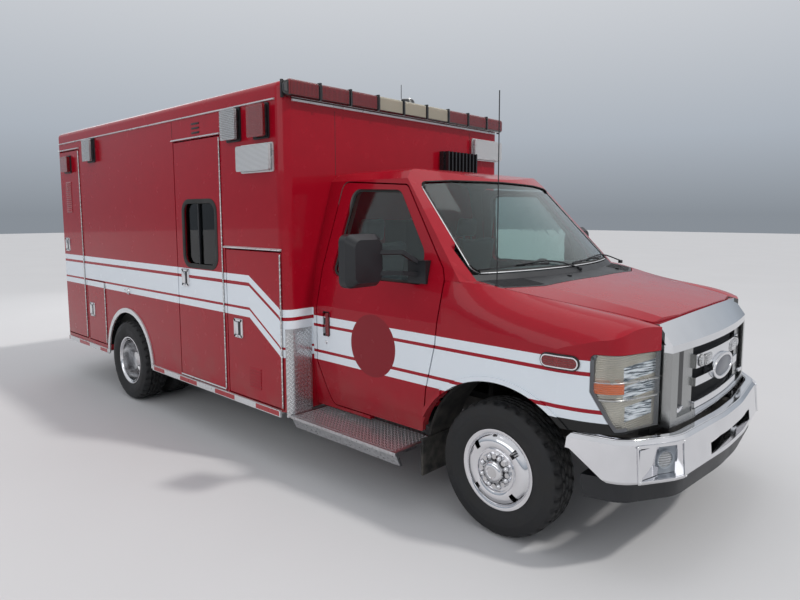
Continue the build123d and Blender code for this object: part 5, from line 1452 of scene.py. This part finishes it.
class AMBULANCE_OT_cab_trim(bpy.types.Operator):
    """Model the window seals, the mirrors' glass, the fender markers and the cab doors' fittings"""

    bl_idname = "ambulance.cab_trim"
    bl_label = "Cab trim"

    def execute(self, context):
        for node, (towards, width) in PANE_SEALS.items():
            seal = rim_over(node, towards, lift=0.0025, thick=0.006, width=width)
            finished(seal, node + "_seal", "rubber", body_of(node), smooth=30)
        line = rim_over("windshield", PANE_SEALS["windshield"][0], lift=0.0045, thick=0.004, width=0.006)
        finished(line, "windshield_moulding", "bright_trim", smooth=30)

        y, z, x = MIRROR_GLASS_AT
        for name, side in SIDES:
            glass = laid(plate(rounded(0.205, 0.232, 0.022), 0.0012), on_rear(side * y, z, x))
            finished(glass, f"mirror_{name}_glass", "mirror_glass", body_of("mirror_" + name))

        for name, finish, slot, outline, thick, width, cuts in MARKER_LAYERS:
            layers = []
            for side in (RIGHT, LEFT):
                place = on_side(side, *MARKER_AT, 1.0)
                layers.append(wrapped(rounded(*outline, 6), "fenders", place, thick, width, cuts))
            finished(joined(layers), name, finish, smooth=40)

        for name, side in SIDES:
            door = "cab_door_" + name
            place = on_side(side, CAB_HANDLE_X, CAB_HANDLE_Z, 1.0)
            cup = wrapped(rounded(0.074, 0.170, 0.016), door, place, 0.004)
            finished(cup, door + "_handle_cup", "black_plastic", door, smooth=40)
            face = surface_y(door, side, CAB_HANDLE_X - 0.008, CAB_HANDLE_Z)
            grip = slab((-0.014, -0.079, 0.002), (0.014, 0.079, 0.017), 0.006, 3)
            laid(grip, on_side(side, CAB_HANDLE_X + 0.021, CAB_HANDLE_Z, face))
            finished(grip, door + "_handle", "handle_red", door, smooth=40)
            face = surface_y(door, side, CAB_HANDLE_X, CAB_LOCK_Z)
            lock = laid(spun(CAB_LOCK, 24), on_side(side, CAB_HANDLE_X, CAB_LOCK_Z, face))
            finished(lock, door + "_lock", "chrome", door, smooth=40)
        return {"FINISHED"}


# Module: lamps, door fittings, tread bars


WALL_LAMPS = [
    # wall, along it, height, width, tall, stand-off, lens, bezel
    ("right", -2.100, 2.370, 0.180, 0.230, 0.055, "clear_lens", "black_plastic"),
    ("right", -1.760, 2.365, 0.180, 0.230, 0.055, "red_lens", "black_plastic"),
    ("right", -1.820, 2.125, 0.380, 0.190, 0.045, "scene_lens", "bright_trim"),
    ("right", -4.693, 2.372, 0.180, 0.230, 0.055, "clear_lens", "black_plastic"),
    ("left", -1.990, 2.420, 0.180, 0.130, 0.045, "red_lens", "black_plastic"),
    ("left", -3.300, 2.240, 0.380, 0.190, 0.045, "scene_lens", "bright_trim"),
    ("left", -4.693, 2.378, 0.180, 0.180, 0.045, "clear_lens", "black_plastic"),
    ("left", -5.345, 2.420, 0.180, 0.130, 0.045, "red_lens", "black_plastic"),
    ("front", 1.006, 2.324, 0.400, 0.186, 0.045, "scene_lens", "bright_trim"),
]
REAR_LAMPS = [
    # out from the middle, height, width, tall, stand-off, lens: one on each side
    (1.025, 2.400, 0.230, 0.130, 0.045, "red_lens"),
    (0.900, 1.500, 0.130, 0.180, 0.040, "amber_lens"),
    (0.860, 0.640, 0.160, 0.120, 0.030, "red_lens"),
    (1.050, 0.640, 0.160, 0.120, 0.030, "scene_lens"),
]
WALL_LAMPS += [("rear", side * y, *row, "bright_trim") for y, *row in REAR_LAMPS for side in (LEFT, RIGHT)]
DOOR_LAMP = ("curb_rear_door", -5.345, 2.270, 0.180, 0.180, 0.045)
LAMP_FLANGE_W, LAMP_FLANGE_T = 0.014, 0.010
CAP_T = 0.016
DOME_AT = (ahead(-1.66), 0.1)
DOME = [
    # radius, height
    (0.077, 0.0), (0.077, 0.012), (0.070, 0.018), (0.062, 0.045), (0.054, 0.058), (0.040, 0.0635),
    (0.0, 0.0645),
]


def wall_place(wall, along, height):
    """Lays a piece on one of the module's walls, at a place along it and a height."""
    if wall == "front":
        return on_front(along, height)
    if wall == "rear":
        return on_rear(along, height)
    return on_side(dict(SIDES)[wall], ahead(along), height)


def lens_cap(wide, tall, out):
    """A moulded lens over the outer face of a box lamp's body."""
    width, height, foot = wide + 0.012, tall - 0.018, out - CAP_T
    cap = plate(rounded(width, height, 0.014, 4), out + 0.002 - foot)
    edit()
    pick(lambda at, normal: at.z > out - foot)
    bpy.ops.mesh.inset(thickness=0.006)
    bpy.ops.transform.resize(value=(1 - 0.016 / width, 1 - 0.016 / height, 1), center_override=(0, 0, out))
    leave()
    return moved(cap, 0, 0, foot + 0.0005)


def lamp_bezel(wide, tall):
    """The frame round a box lamp's foot, with a screw in each corner."""
    outline = rounded(wide + 0.003, tall + 0.003, 0.013, 4)
    frame = band(outline, LAMP_FLANGE_W + 0.001, LAMP_FLANGE_T + 0.0015, 0, 0.002)
    screws = []
    for sx in (-1, 1):
        for sy in (-1, 1):
            at = (sx * (wide / 2 - 0.008), sy * (tall / 2 - 0.008), LAMP_FLANGE_T + 0.002)
            screws.append(disc(at, 0.004, 0.003, around=10, ease=0.001, rounds=1))
    return joined([frame, *screws])


class AMBULANCE_OT_lamps(bpy.types.Operator):
    """Model the lenses and bezels of the lamps on the module's walls and roof"""

    bl_idname = "ambulance.lamps"
    bl_label = "Lamps"

    def execute(self, context):
        caps, bezels = {}, {}
        for wall, along, height, wide, tall, out, lens, trim in WALL_LAMPS:
            place = wall_place(wall, along, height)
            caps.setdefault(lens, []).append(laid(lens_cap(wide, tall, out), place))
            bezels.setdefault(trim, []).append(laid(lamp_bezel(wide, tall), place))
        for finish, parts in caps.items():
            finished(joined(parts), "wall_lamps_" + finish, finish, smooth=40)
        for finish, parts in bezels.items():
            finished(joined(parts), "lamp_bezels_" + finish, finish, smooth=30)
        door, along, height, wide, tall, out = DOOR_LAMP
        place = wall_place("right", along, height)
        lift = surface_y(door, RIGHT, ahead(along) + wide / 2 + 0.02, height) - SIDE_Y
        place = place @ Matrix.Translation((0, 0, lift))
        cap, bezel = laid(lens_cap(wide, tall, out), place), laid(lamp_bezel(wide, tall), place)
        finished(cap, door + "_lamp_lens", "red_lens", door, 40)
        finished(bezel, door + "_lamp_bezel", "black_plastic", door, 30)
        dome = moved(spun(DOME, 40), *DOME_AT, MODULE_TOP_Z)
        finished(dome, "roof_dome", "black_plastic", smooth=40)
        return {"FINISHED"}


DOOR_HANDLES = {
    # door: side, ahead, height of its handle
    "side_entry_door": (RIGHT, -2.873, 1.240),
    "curb_front_door": (RIGHT, -2.110, 0.920),
    "curb_low_door": (RIGHT, -4.870, 0.772),
    "curb_rear_door": (RIGHT, -5.470, 1.423),
    "street_front_door": (LEFT, -2.110, 1.240),
    "street_rear_door": (LEFT, -5.470, 1.240),
}
HINGE_KNUCKLE, HINGE_R = 0.045, 0.0058
ENTRY_WINDOW_AT = (ahead(-2.6365), 1.5935)


def paddle_handle():
    """A bright square frame with its paddle and lock, and the dark cup behind them, flat on the xy plane."""
    frame = band(rounded(0.113, 0.143, 0.013), 0.022, 0.0125, 0, 0.003)
    lock = spun([(0.009, 0.0), (0.009, 0.0135), (0.0075, 0.0145), (0.006, 0.0125), (0.0, 0.0125)], 20)
    moved(lock, 0, -0.058, 0)
    paddle = plate(rounded(0.040, 0.094, 0.006), 0.0145, 0.003)
    moved(paddle, -0.016, 0, 0.0015)
    bright = joined([frame, lock, paddle])
    return bright, plate(rounded(0.072, 0.102, 0.008), 0.0108)


def add_handle(pattern, door, place):
    """Copies of the handle's bright part and its cup, laid on a door."""
    for part, finish, ending in zip(pattern, ("chrome", "black_plastic"), ("_handle", "_handle_cup")):
        finished(copied(part, place), door + ending, finish, door, smooth=35)


def pin_of(door):
    """Place of a door's hinge pin."""
    return next(row for row in FRAME["joints"] if row["child"] == door)["pos_m"]


def add_hinge(door):
    """A rod of knuckles along a door's pin, parted by fine grooves."""
    low, high = (corner.z + ease for corner, ease in zip(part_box(door), (0.01, -0.01)))
    count = max(3, round((high - low) / HINGE_KNUCKLE))
    pitch = (high - low) / count
    profile = [(0.0, low), (HINGE_R - 0.001, low)]
    for number in range(count):
        z = low + number * pitch
        profile += [
            (HINGE_R, z + 0.001), (HINGE_R, z + pitch - 0.0015), (HINGE_R - 0.0012, z + pitch - 0.0007)
        ]
    hinge = spun([*profile, (0.0, high)], 10, smooth=60)
    pin_x, pin_y, _ = pin_of(door)
    moved(hinge, pin_x, pin_y, 0)
    finished(hinge, door + "_hinge", "hinge_steel", door)


class AMBULANCE_OT_door_fittings(bpy.types.Operator):
    """Model the module doors' handles and hinges, and the entry window's seal and slide"""

    bl_idname = "ambulance.door_fittings"
    bl_label = "Door fittings"

    def execute(self, context):
        handle = paddle_handle()
        for door, (side, x, z) in DOOR_HANDLES.items():
            face = surface_y(door, side, ahead(x) + 0.075, z)
            add_handle(handle, door, on_side(side, ahead(x), z, face))
            add_hinge(door)
        drop(*handle)

        face = surface_y("side_entry_door", RIGHT, ENTRY_WINDOW_AT[0], 1.15)
        place = on_side(RIGHT, *ENTRY_WINDOW_AT, face)
        seal = laid(band(rounded(0.536, 0.543, 0.105, 9), 0.036, 0.009, -0.004, 0.004), place)
        finished(seal, "side_entry_window_seal", "rubber", "side_entry_door", smooth=40)
        split = laid(slab((-0.030, -0.25, -0.022), (-0.014, 0.25, -0.004), 0.003), place)
        finished(split, "side_entry_window_slide", "black_plastic", "side_entry_door")
        return {"FINISHED"}


TREAD_PITCH = 0.030
CORNER_R = 0.075
GUARD_FOOT_Z, GUARD_TALL = 0.365, 0.610
GUARD_IN, GUARD_OUT = CORNER_R + 0.0005, CORNER_R + 0.0025  # radii of a corner guard's two faces
GUARD_BARS_Z, GUARD_BARS_TALL = 0.6625, 0.58
FRONT_BARS_Y, FRONT_BARS = 1.079, (0.120, 0.60)
BOARD_BARS_AT, BOARD_BARS = (ahead(-1.036), 1.022, 0.385), (0.93, 0.33)
STEP_BARS = (0.18, 2.16)
GUARD_PAST_PIN = 0.020  # from a front compartment door's pin to the guard's edge


def tread_field(length, height):
    """Raised bars, laid crosswise in turn, over a rectangle on the xy plane."""
    bar = slab((-0.011, -0.0028, -0.0004), (0.011, 0.0028, 0.0016))
    edit()
    pick(lambda at, out: at.z > 0.001)
    bpy.ops.transform.resize(value=(0.7, 0.4, 1))
    leave()
    columns, rows = int(length / TREAD_PITCH), int(height / TREAD_PITCH)
    bars = []
    for turn, shift in ((0.25, 0.0), (-0.25, 0.5)):
        one = copied(bar, Matrix.Translation((
            (shift - columns / 2 + 0.25) * TREAD_PITCH, (shift - rows / 2 + 0.25) * TREAD_PITCH, 0
        )) @ Matrix.Rotation(math.pi * turn, 4, "Z"))
        modify("ARRAY", count=columns, use_relative_offset=False, use_constant_offset=True,
               constant_offset_displace=(TREAD_PITCH, 0, 0))
        modify("ARRAY", count=rows, use_relative_offset=False, use_constant_offset=True,
               constant_offset_displace=(0, TREAD_PITCH, 0))
        bars.append(one)
    drop(bar)
    return joined(bars)


class AMBULANCE_OT_tread_bars(bpy.types.Operator):
    """Model the corner guards, and the raised bars on guards, running boards and rear step"""

    bl_idname = "ambulance.tread_bars"
    bl_label = "Tread bars"

    def execute(self, context):
        fields = []
        for side in (RIGHT, LEFT):
            place = on_front(side * FRONT_BARS_Y, GUARD_BARS_Z, MODULE_FRONT_X + 0.004)
            fields.append(laid(tread_field(*FRONT_BARS), place))
            x, y, z = BOARD_BARS_AT
            fields.append(laid(tread_field(*BOARD_BARS), on_top(x, side * y, z)))
        sheets = []
        for side, door in ((RIGHT, "curb_front_door"), (LEFT, "street_front_door")):
            middle = Vector((MODULE_FRONT_X - CORNER_R, side * (SIDE_Y - CORNER_R), 0))
            first = math.asin((pin_of(door)[0] + GUARD_PAST_PIN - middle.x) / CORNER_R)
            arc = CORNER_R * (math.pi / 2 - first)
            turns = [first + (math.pi / 2 - first) * step / 14 for step in range(15)]
            for radius in (GUARD_IN, GUARD_OUT):
                path = [
                    middle + Vector((math.sin(turn) * radius, side * math.cos(turn) * radius, GUARD_FOOT_Z))
                    for turn in turns
                ]
                sheets.append(draw(path))
                extrude((0, 0, GUARD_TALL))
                leave()
            field = tread_field(arc - 0.01, GUARD_BARS_TALL)
            moved(field, CORNER_R * first + arc / 2, GUARD_BARS_Z, 0)
            for vertex in field.data.vertices:
                turn, radius = vertex.co.x / CORNER_R, GUARD_OUT + vertex.co.z
                spot = Vector((math.sin(turn) * radius, side * math.cos(turn) * radius, vertex.co.y))
                vertex.co = middle + spot
            if side == LEFT:
                turned_over(field)
            fields.append(field)
        finished(joined(sheets), "corner_guards", "tread_plate", smooth=50)
        fields.append(laid(tread_field(*STEP_BARS), on_top(STEP_MIDDLE_X, 0, STEP_TOP_Z)))
        finished(joined(fields), "tread_bars", "tread_bar")
        return {"FINISHED"}


# Rear, inside and side trim


def door_front(width, height):
    """A cabinet door with an eased panel and a round pull, flat on the xy plane."""
    panel = plate(rounded(width, height, 0.02, 3), 0.014, 0.003)
    edit()
    pick(lambda at, out: at.z > 0.0135)
    bpy.ops.mesh.inset(thickness=0.03)
    bpy.ops.transform.translate(value=(0, 0, -0.003))
    leave()
    pull = laid(
        spun([(0.018, 0.0), (0.018, 0.006), (0.012, 0.009), (0.006, 0.008), (0.0, 0.008)], 20),
        Matrix.Translation((width / 2 - 0.05, 0, 0.013)),
    )
    return joined([panel, pull])


def cushion(low, high, crown, waist):
    """A padded block with a crowned top and sides that pull in between its corners."""
    pad = slab(low, high, 0.028, 3)
    modify("REMESH", mode="VOXEL", voxel_size=0.016)
    size, middle = Vector(high) - Vector(low), (Vector(low) + Vector(high)) / 2
    for point in pad.data.vertices:
        across = [2 * (point.co[axis] - middle[axis]) / size[axis] for axis in range(3)]
        bulge = [max(0.0, 1 - share * share) for share in across]
        point.co.z += crown * bulge[0] ** 0.5 * bulge[1] ** 0.5 * (1 if across[2] > 0 else 0)
        point.co.x -= waist * across[0] * bulge[1] * abs(across[0]) ** 3
        point.co.y -= waist * across[1] * bulge[0] * abs(across[1]) ** 3
    modify("SMOOTH", iterations=6, factor=0.5)
    modify("SUBSURF", levels=1, render_levels=1)
    return pad


class AMBULANCE_OT_rear(bpy.types.Operator):
    """Model the rear doors' fittings, the blank plate's bracket and the step's grip"""

    bl_idname = "ambulance.rear"
    bl_label = "Rear"

    def execute(self, context):
        handle = paddle_handle()
        for name, side in SIDES:
            door = "rear_door_" + name
            add_handle(handle, door, on_rear(side * 0.115, 1.24))
            add_hinge(door)
            seal = band(rounded(0.400, 0.600, 0.072, 8), 0.032, 0.008, -0.003, 0.003)
            laid(seal, on_rear(side * 0.305, 1.735))
            finished(seal, door + "_window_seal", "rubber", door, smooth=40)
        drop(*handle)

        bracket = band(rounded(0.32, 0.17, 0.01, 3), 0.012, 0.008, 0, 0.002)
        blank = plate(rounded(0.302, 0.152, 0.008, 3), 0.002)
        both = laid(joined([bracket, blank]), on_rear(-0.42, 0.66))
        finished(both, "blank_plate_bracket", "bright_trim", smooth=30)

        strips = []
        for row in range(5):
            strip = plate(rounded(0.11, 0.36, 0.012, 3), 0.0022, 0.0008)
            strips.append(laid(strip, on_top(STEP_MIDDLE_X, 0.45 * (row - 2), STEP_TOP_Z)))
        finished(joined(strips), "rear_step_grip", "rubber")
        return {"FINISHED"}


SEAT_Y, SEAT_HALF = 0.56, 0.235
CABINET_DOORS = [
    # first door's middle ahead, pitch rearwards, height of the middle, in from the left, width, height
    (-2.55, 0.54, 2.13, 0.38, 0.50, 0.60),
    (-2.98, 0.44, 1.0, 0.42, 0.40, 0.11),
]
DIAL = [(0.038, 0.0), (0.038, 0.006), (0.033, 0.007), (0.031, 0.003), (0.0, 0.003)]
DIALS_Y, VENTS_Y = (0.37, 0.47, 0.57), (-0.72, -0.30, 0.10, 0.78)


class AMBULANCE_OT_inside(bpy.types.Operator):
    """Model the seats, the bench's cushions, the cabinets' doors and the dash's dials"""

    bl_idname = "ambulance.inside"
    bl_label = "Inside"

    def execute(self, context):
        pads, frames = [], []
        for side in (RIGHT, LEFT):
            y = side * SEAT_Y
            low, high = (ahead(-1.26), y - SEAT_HALF, 0.86), (ahead(-0.81), y + SEAT_HALF, 0.975)
            base = cushion(low, high, 0.012, 0.016)
            back = cushion((-0.30, -SEAT_HALF, -0.055), (0.30, SEAT_HALF, 0.045), 0.010, 0.016)
            lean = Matrix.Rotation(math.radians(100), 4, "Y")
            laid(back, Matrix.Translation((ahead(-1.335), y, 1.255)) @ lean)
            head = cushion((-0.085, -0.115, -0.04), (0.085, 0.115, 0.035), 0.008, 0.010)
            laid(head, Matrix.Translation((ahead(-1.385), y, 1.635)) @ lean)
            pads += [base, back, head]
            frames.append(slab((ahead(-1.32), y - 0.165, 0.645), (ahead(-0.90), y + 0.165, 0.862), 0.015))
            for post in (y - 0.05, y + 0.05):
                frames.append(tube([(ahead(-1.375), post, 1.50), (ahead(-1.385), post, 1.60)], 0.007))
        seats = joined(pads)
        finished(seats, "cab_seat_cushions", "seat_cloth", smooth=60)
        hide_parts("cab_seats")
        finished(joined(frames), "cab_seat_frames", "dash_plastic", smooth=30)

        low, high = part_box("patient_interior")
        bench = []
        for x0, x1 in ((ahead(-4.48), ahead(-3.80)), (ahead(-3.78), ahead(-3.10))):
            bench.append(cushion((x0, low.y + 0.005, 1.232), (x1, low.y + 0.555, 1.285), 0.014, 0.012))
        pad = joined(bench)
        finished(pad, "bench_cushions", "bench_vinyl", smooth=60)

        fronts = []
        for first, pitch, z, depth, width, height in CABINET_DOORS:
            for number in range(5):
                place = on_side(RIGHT, ahead(first - pitch * number), z, -(high.y - depth))
                fronts.append(laid(door_front(width, height), place))
        finished(joined(fronts), "cabinet_doors", "cabinet_white", smooth=30)

        dials = []
        for y in DIALS_Y:
            place = facing((ahead(-0.592), y, 1.255), (0, -1, 0), (-0.98, 0, 0.199))
            dials.append(laid(spun(DIAL, 28), place))
        for y in VENTS_Y:
            vent = [band(rounded(0.13, 0.07, 0.012, 3), 0.010, 0.008, 0, 0.002)]
            for z in (-0.018, 0, 0.018):
                vent.append(slab((-0.058, z - 0.002, 0), (0.058, z + 0.002, 0.006), 0.001, 1))
            place = facing((ahead(-0.588), y, 1.20), (0, -1, 0), (-0.985, 0, 0.17))
            dials.append(laid(joined(vent), place))
        finished(joined(dials), "dash_dials_and_vents", "black_plastic", smooth=30)
        return {"FINISHED"}


RUB_FACE_Y, RUB_RAIL_Z = SIDE_Y + 0.014, 0.385
CATCH_KNOB = [(0.030, 0.0), (0.030, 0.008), (0.025, 0.013), (0.016, 0.010), (0.014, 0.018), (0.0, 0.020)]
STRAP_HALF = Vector((0.008, 0.010, 0.058))
SEAMS_X, SEAM_Z = (ahead(-3.022), ahead(-2.292)), (2.35, 2.485)  # above the entry door's edges
FRONT_SEAM_Y, FRONT_SEAM_Z = 0.775, (2.02, 2.46)
SEAM_W, SEAM_T, SEAM_OUT = 0.0015, 0.0008, 0.0004  # half width, half thickness, out from the wall


class AMBULANCE_OT_side_trim(bpy.types.Operator):
    """Model the reflective strips, louvre, seams, catch, sill edge, front mud flaps and bar straps"""

    bl_idname = "ambulance.side_trim"
    bl_label = "Side trim"

    def execute(self, context):
        strips = []
        gap = (REAR_AXLE_X - 0.515, REAR_AXLE_X + 0.515)
        for side in (RIGHT, LEFT):
            for x0, x1 in ((gap[1], MODULE_FRONT_X - 0.09), (MODULE_REAR_X + 0.09, gap[0])):
                place = on_side(side, (x0 + x1) / 2, RUB_RAIL_Z, RUB_FACE_Y)
                strips.append(laid(plate(rounded(x1 - x0, 0.034, 0.002, 2), 0.0012), place))
        finished(joined(strips), "rub_rail_reflectors", "reflector_tape")

        slats = []
        for z in (-0.034, 0.0, 0.034):
            slat = slab((-0.058, -0.007, -0.001), (0.058, 0.007, 0.004), 0.0022)
            slats.append(laid(slat, on_side(RIGHT, ahead(-2.6425), 2.402 + z)))
        finished(joined(slats), "upper_louvre", "black_plastic", smooth=30)

        seams = []
        for side in (RIGHT, LEFT):
            for x in SEAMS_X:
                seam = slab((x - SEAM_W, -SEAM_T, SEAM_Z[0]), (x + SEAM_W, SEAM_T, SEAM_Z[1]), 0.0005, 1)
                seams.append(moved(seam, 0, side * (SIDE_Y + SEAM_OUT), 0))
            seam = slab((-SEAM_T, -SEAM_W, FRONT_SEAM_Z[0]), (SEAM_T, SEAM_W, FRONT_SEAM_Z[1]), 0.0005, 1)
            seams.append(moved(seam, MODULE_FRONT_X + SEAM_OUT, side * FRONT_SEAM_Y, 0))
        finished(joined(seams), "wall_seams", "rubber")

        catch = [spun(CATCH_KNOB, 28), slab((-0.075, 0.002, 0.003), (-0.020, 0.014, 0.013), 0.004)]
        catch = laid(joined(catch), on_side(RIGHT, ahead(-3.983), 1.032))
        finished(catch, "side_catch", "chrome", smooth=35)

        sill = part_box("side_entry_door")
        edge = slab((sill[0].x, -SIDE_Y - 0.006, 0.418), (sill[1].x, -SIDE_Y - 0.002, 0.430), 0.0015)
        finished(edge, "door_edge_trim", "bright_trim")

        flaps = []
        for side in (RIGHT, LEFT):
            ends = sorted((side * 0.66, side * 0.96))
            flaps.append(slab((ahead(-0.56), ends[0], 0.17), (ahead(-0.545), ends[1], 0.40), 0.003))
        finished(joined(flaps), "front_mud_flaps", "rubber")

        corners = []
        for side in (RIGHT, LEFT):
            at = Vector((MODULE_FRONT_X - 0.002, side * (SIDE_Y - 0.006), 2.552))
            corners.append(slab(at - STRAP_HALF, at + STRAP_HALF, 0.003))
        finished(joined(corners), "light_bar_straps", "black_plastic", smooth=30)
        return {"FINISHED"}


# The stage


def aimed(name, kind, place, target, energy, size, colour=(1, 1, 1)):
    """A lamp that points from its place to a target."""
    lamp = bpy.data.lights.new(name, kind)
    lamp.energy = energy
    lamp.color = colour
    if kind == "AREA":
        lamp.shape = "RECTANGLE"
        lamp.size, lamp.size_y = size
    else:
        lamp.angle = size
    holder = bpy.data.objects.new(name, lamp)
    bpy.context.scene.collection.objects.link(holder)
    holder.location = place
    holder.rotation_mode = "QUATERNION"
    holder.rotation_quaternion = (Vector(target) - Vector(place)).to_track_quat("-Z", "Y")
    return holder


class AMBULANCE_OT_stage(bpy.types.Operator):
    """Make the floor, the surrounding light, the lamps and the camera"""

    bl_idname = "ambulance.stage"
    bl_label = "Stage"

    def execute(self, context):
        scene = context.scene
        values = settings("stage")
        scene.view_settings.view_transform = "Standard"

        clear()
        bpy.ops.mesh.primitive_plane_add(size=120, location=(0, 0, -0.001))
        floor = context.object
        floor.name = "floor"
        m = Mixer("floor_paper", Roughness=0.9)
        m.set("Base Color", m.mix(m.noise(0.6, 3.0), (0.56, 0.56, 0.57), (0.6, 0.6, 0.61)))
        floor.data.materials.append(m.material)

        world = bpy.data.worlds.new("studio")
        scene.world = world
        world.use_nodes = True
        tree = world.node_tree
        ground = tree.nodes["Background"]
        ground.inputs["Strength"].default_value = values.light
        place = tree.nodes.new("ShaderNodeTexCoord")
        split = tree.nodes.new("ShaderNodeSeparateXYZ")
        tree.links.new(place.outputs["Generated"], split.inputs[0])
        height = tree.nodes.new("ShaderNodeValToRGB")
        tree.links.new(split.outputs[2], height.inputs[0])
        stops = height.color_ramp.elements
        stops[0].position, stops[0].color = 0.0, (0.36, 0.40, 0.45, 1)
        stops[1].position, stops[1].color = 0.4, (1.0, 1.02, 1.06, 1)
        stops.new(0.12).color = (0.6, 0.66, 0.74, 1)
        tree.links.new(height.outputs[0], ground.inputs["Color"])

        aimed("sun", "SUN", (6, 2.5, 9), (0, 0, 1), 1.4, math.radians(4), (1.0, 0.97, 0.93))
        aimed("side_panel", "AREA", (1.5, -9, 4.5), (0.3, 0, 1.2), 110, (9, 4))
        aimed("top_panel", "AREA", (1, 0, 9), (0, 0, 1), 100, (9, 5))
        aimed("rear_panel", "AREA", (-9, 3, 5), (0, 0, 1.2), 110, (6, 4))

        camera = bpy.data.cameras.new("camera")
        holder = bpy.data.objects.new("camera", camera)
        scene.collection.objects.link(holder)
        back = Vector((
            math.sin(values.azimuth) * math.cos(values.elevation),
            -math.cos(values.azimuth) * math.cos(values.elevation),
            math.sin(values.elevation),
        ))
        holder.location = Vector((AXLE_X, 0, 0)) + Vector(values.eye)
        holder.rotation_mode = "QUATERNION"
        holder.rotation_quaternion = (-back).to_track_quat("-Z", "Y")
        camera.sensor_width = 36
        camera.lens = 36 * values.focal
        camera.shift_x = -PICTURE_SHIFT[0] / PICTURE_W
        camera.shift_y = PICTURE_SHIFT[1] / PICTURE_W
        camera.clip_start = 0.05
        camera.clip_end = 400
        scene.camera = holder
        return {"FINISHED"}


OPERATORS = [
    AMBULANCE_OT_finishes,
    AMBULANCE_OT_tyres,
    AMBULANCE_OT_wheels,
    AMBULANCE_OT_headlamps,
    AMBULANCE_OT_grille,
    AMBULANCE_OT_bumper,
    AMBULANCE_OT_wipers,
    AMBULANCE_OT_cab_trim,
    AMBULANCE_OT_lamps,
    AMBULANCE_OT_door_fittings,
    AMBULANCE_OT_tread_bars,
    AMBULANCE_OT_rear,
    AMBULANCE_OT_inside,
    AMBULANCE_OT_side_trim,
    AMBULANCE_OT_stage,
]


class AMBULANCE_PT_panel(bpy.types.Panel):
    """Lists the operators and their values."""

    bl_idname = "AMBULANCE_PT_panel"
    bl_label = "Ambulance"
    bl_space_type = "VIEW_3D"
    bl_region_type = "UI"
    bl_category = "Ambulance"

    def draw(self, context):
        for group, kind in SETTINGS.items():
            box = self.layout.box()
            box.label(text=group.title())
            for name in kind.__annotations__:
                box.prop(settings(group), name)
        for operator in OPERATORS:
            self.layout.operator(operator.bl_idname)


def register():
    for group, kind in SETTINGS.items():
        bpy.utils.register_class(kind)
        setattr(bpy.types.Scene, "ambulance_" + group, bpy.props.PointerProperty(type=kind))
    for operator in OPERATORS:
        bpy.utils.register_class(operator)
    bpy.utils.register_class(AMBULANCE_PT_panel)


def unregister():
    bpy.utils.unregister_class(AMBULANCE_PT_panel)
    for operator in reversed(OPERATORS):
        bpy.utils.unregister_class(operator)
    for group, kind in SETTINGS.items():
        delattr(bpy.types.Scene, "ambulance_" + group)
        bpy.utils.unregister_class(kind)


def main():
    register()
    for operator in OPERATORS:
        group, name = operator.bl_idname.split(".")
        getattr(getattr(bpy.ops, group), name)()


if __name__ == "__main__":
    main()
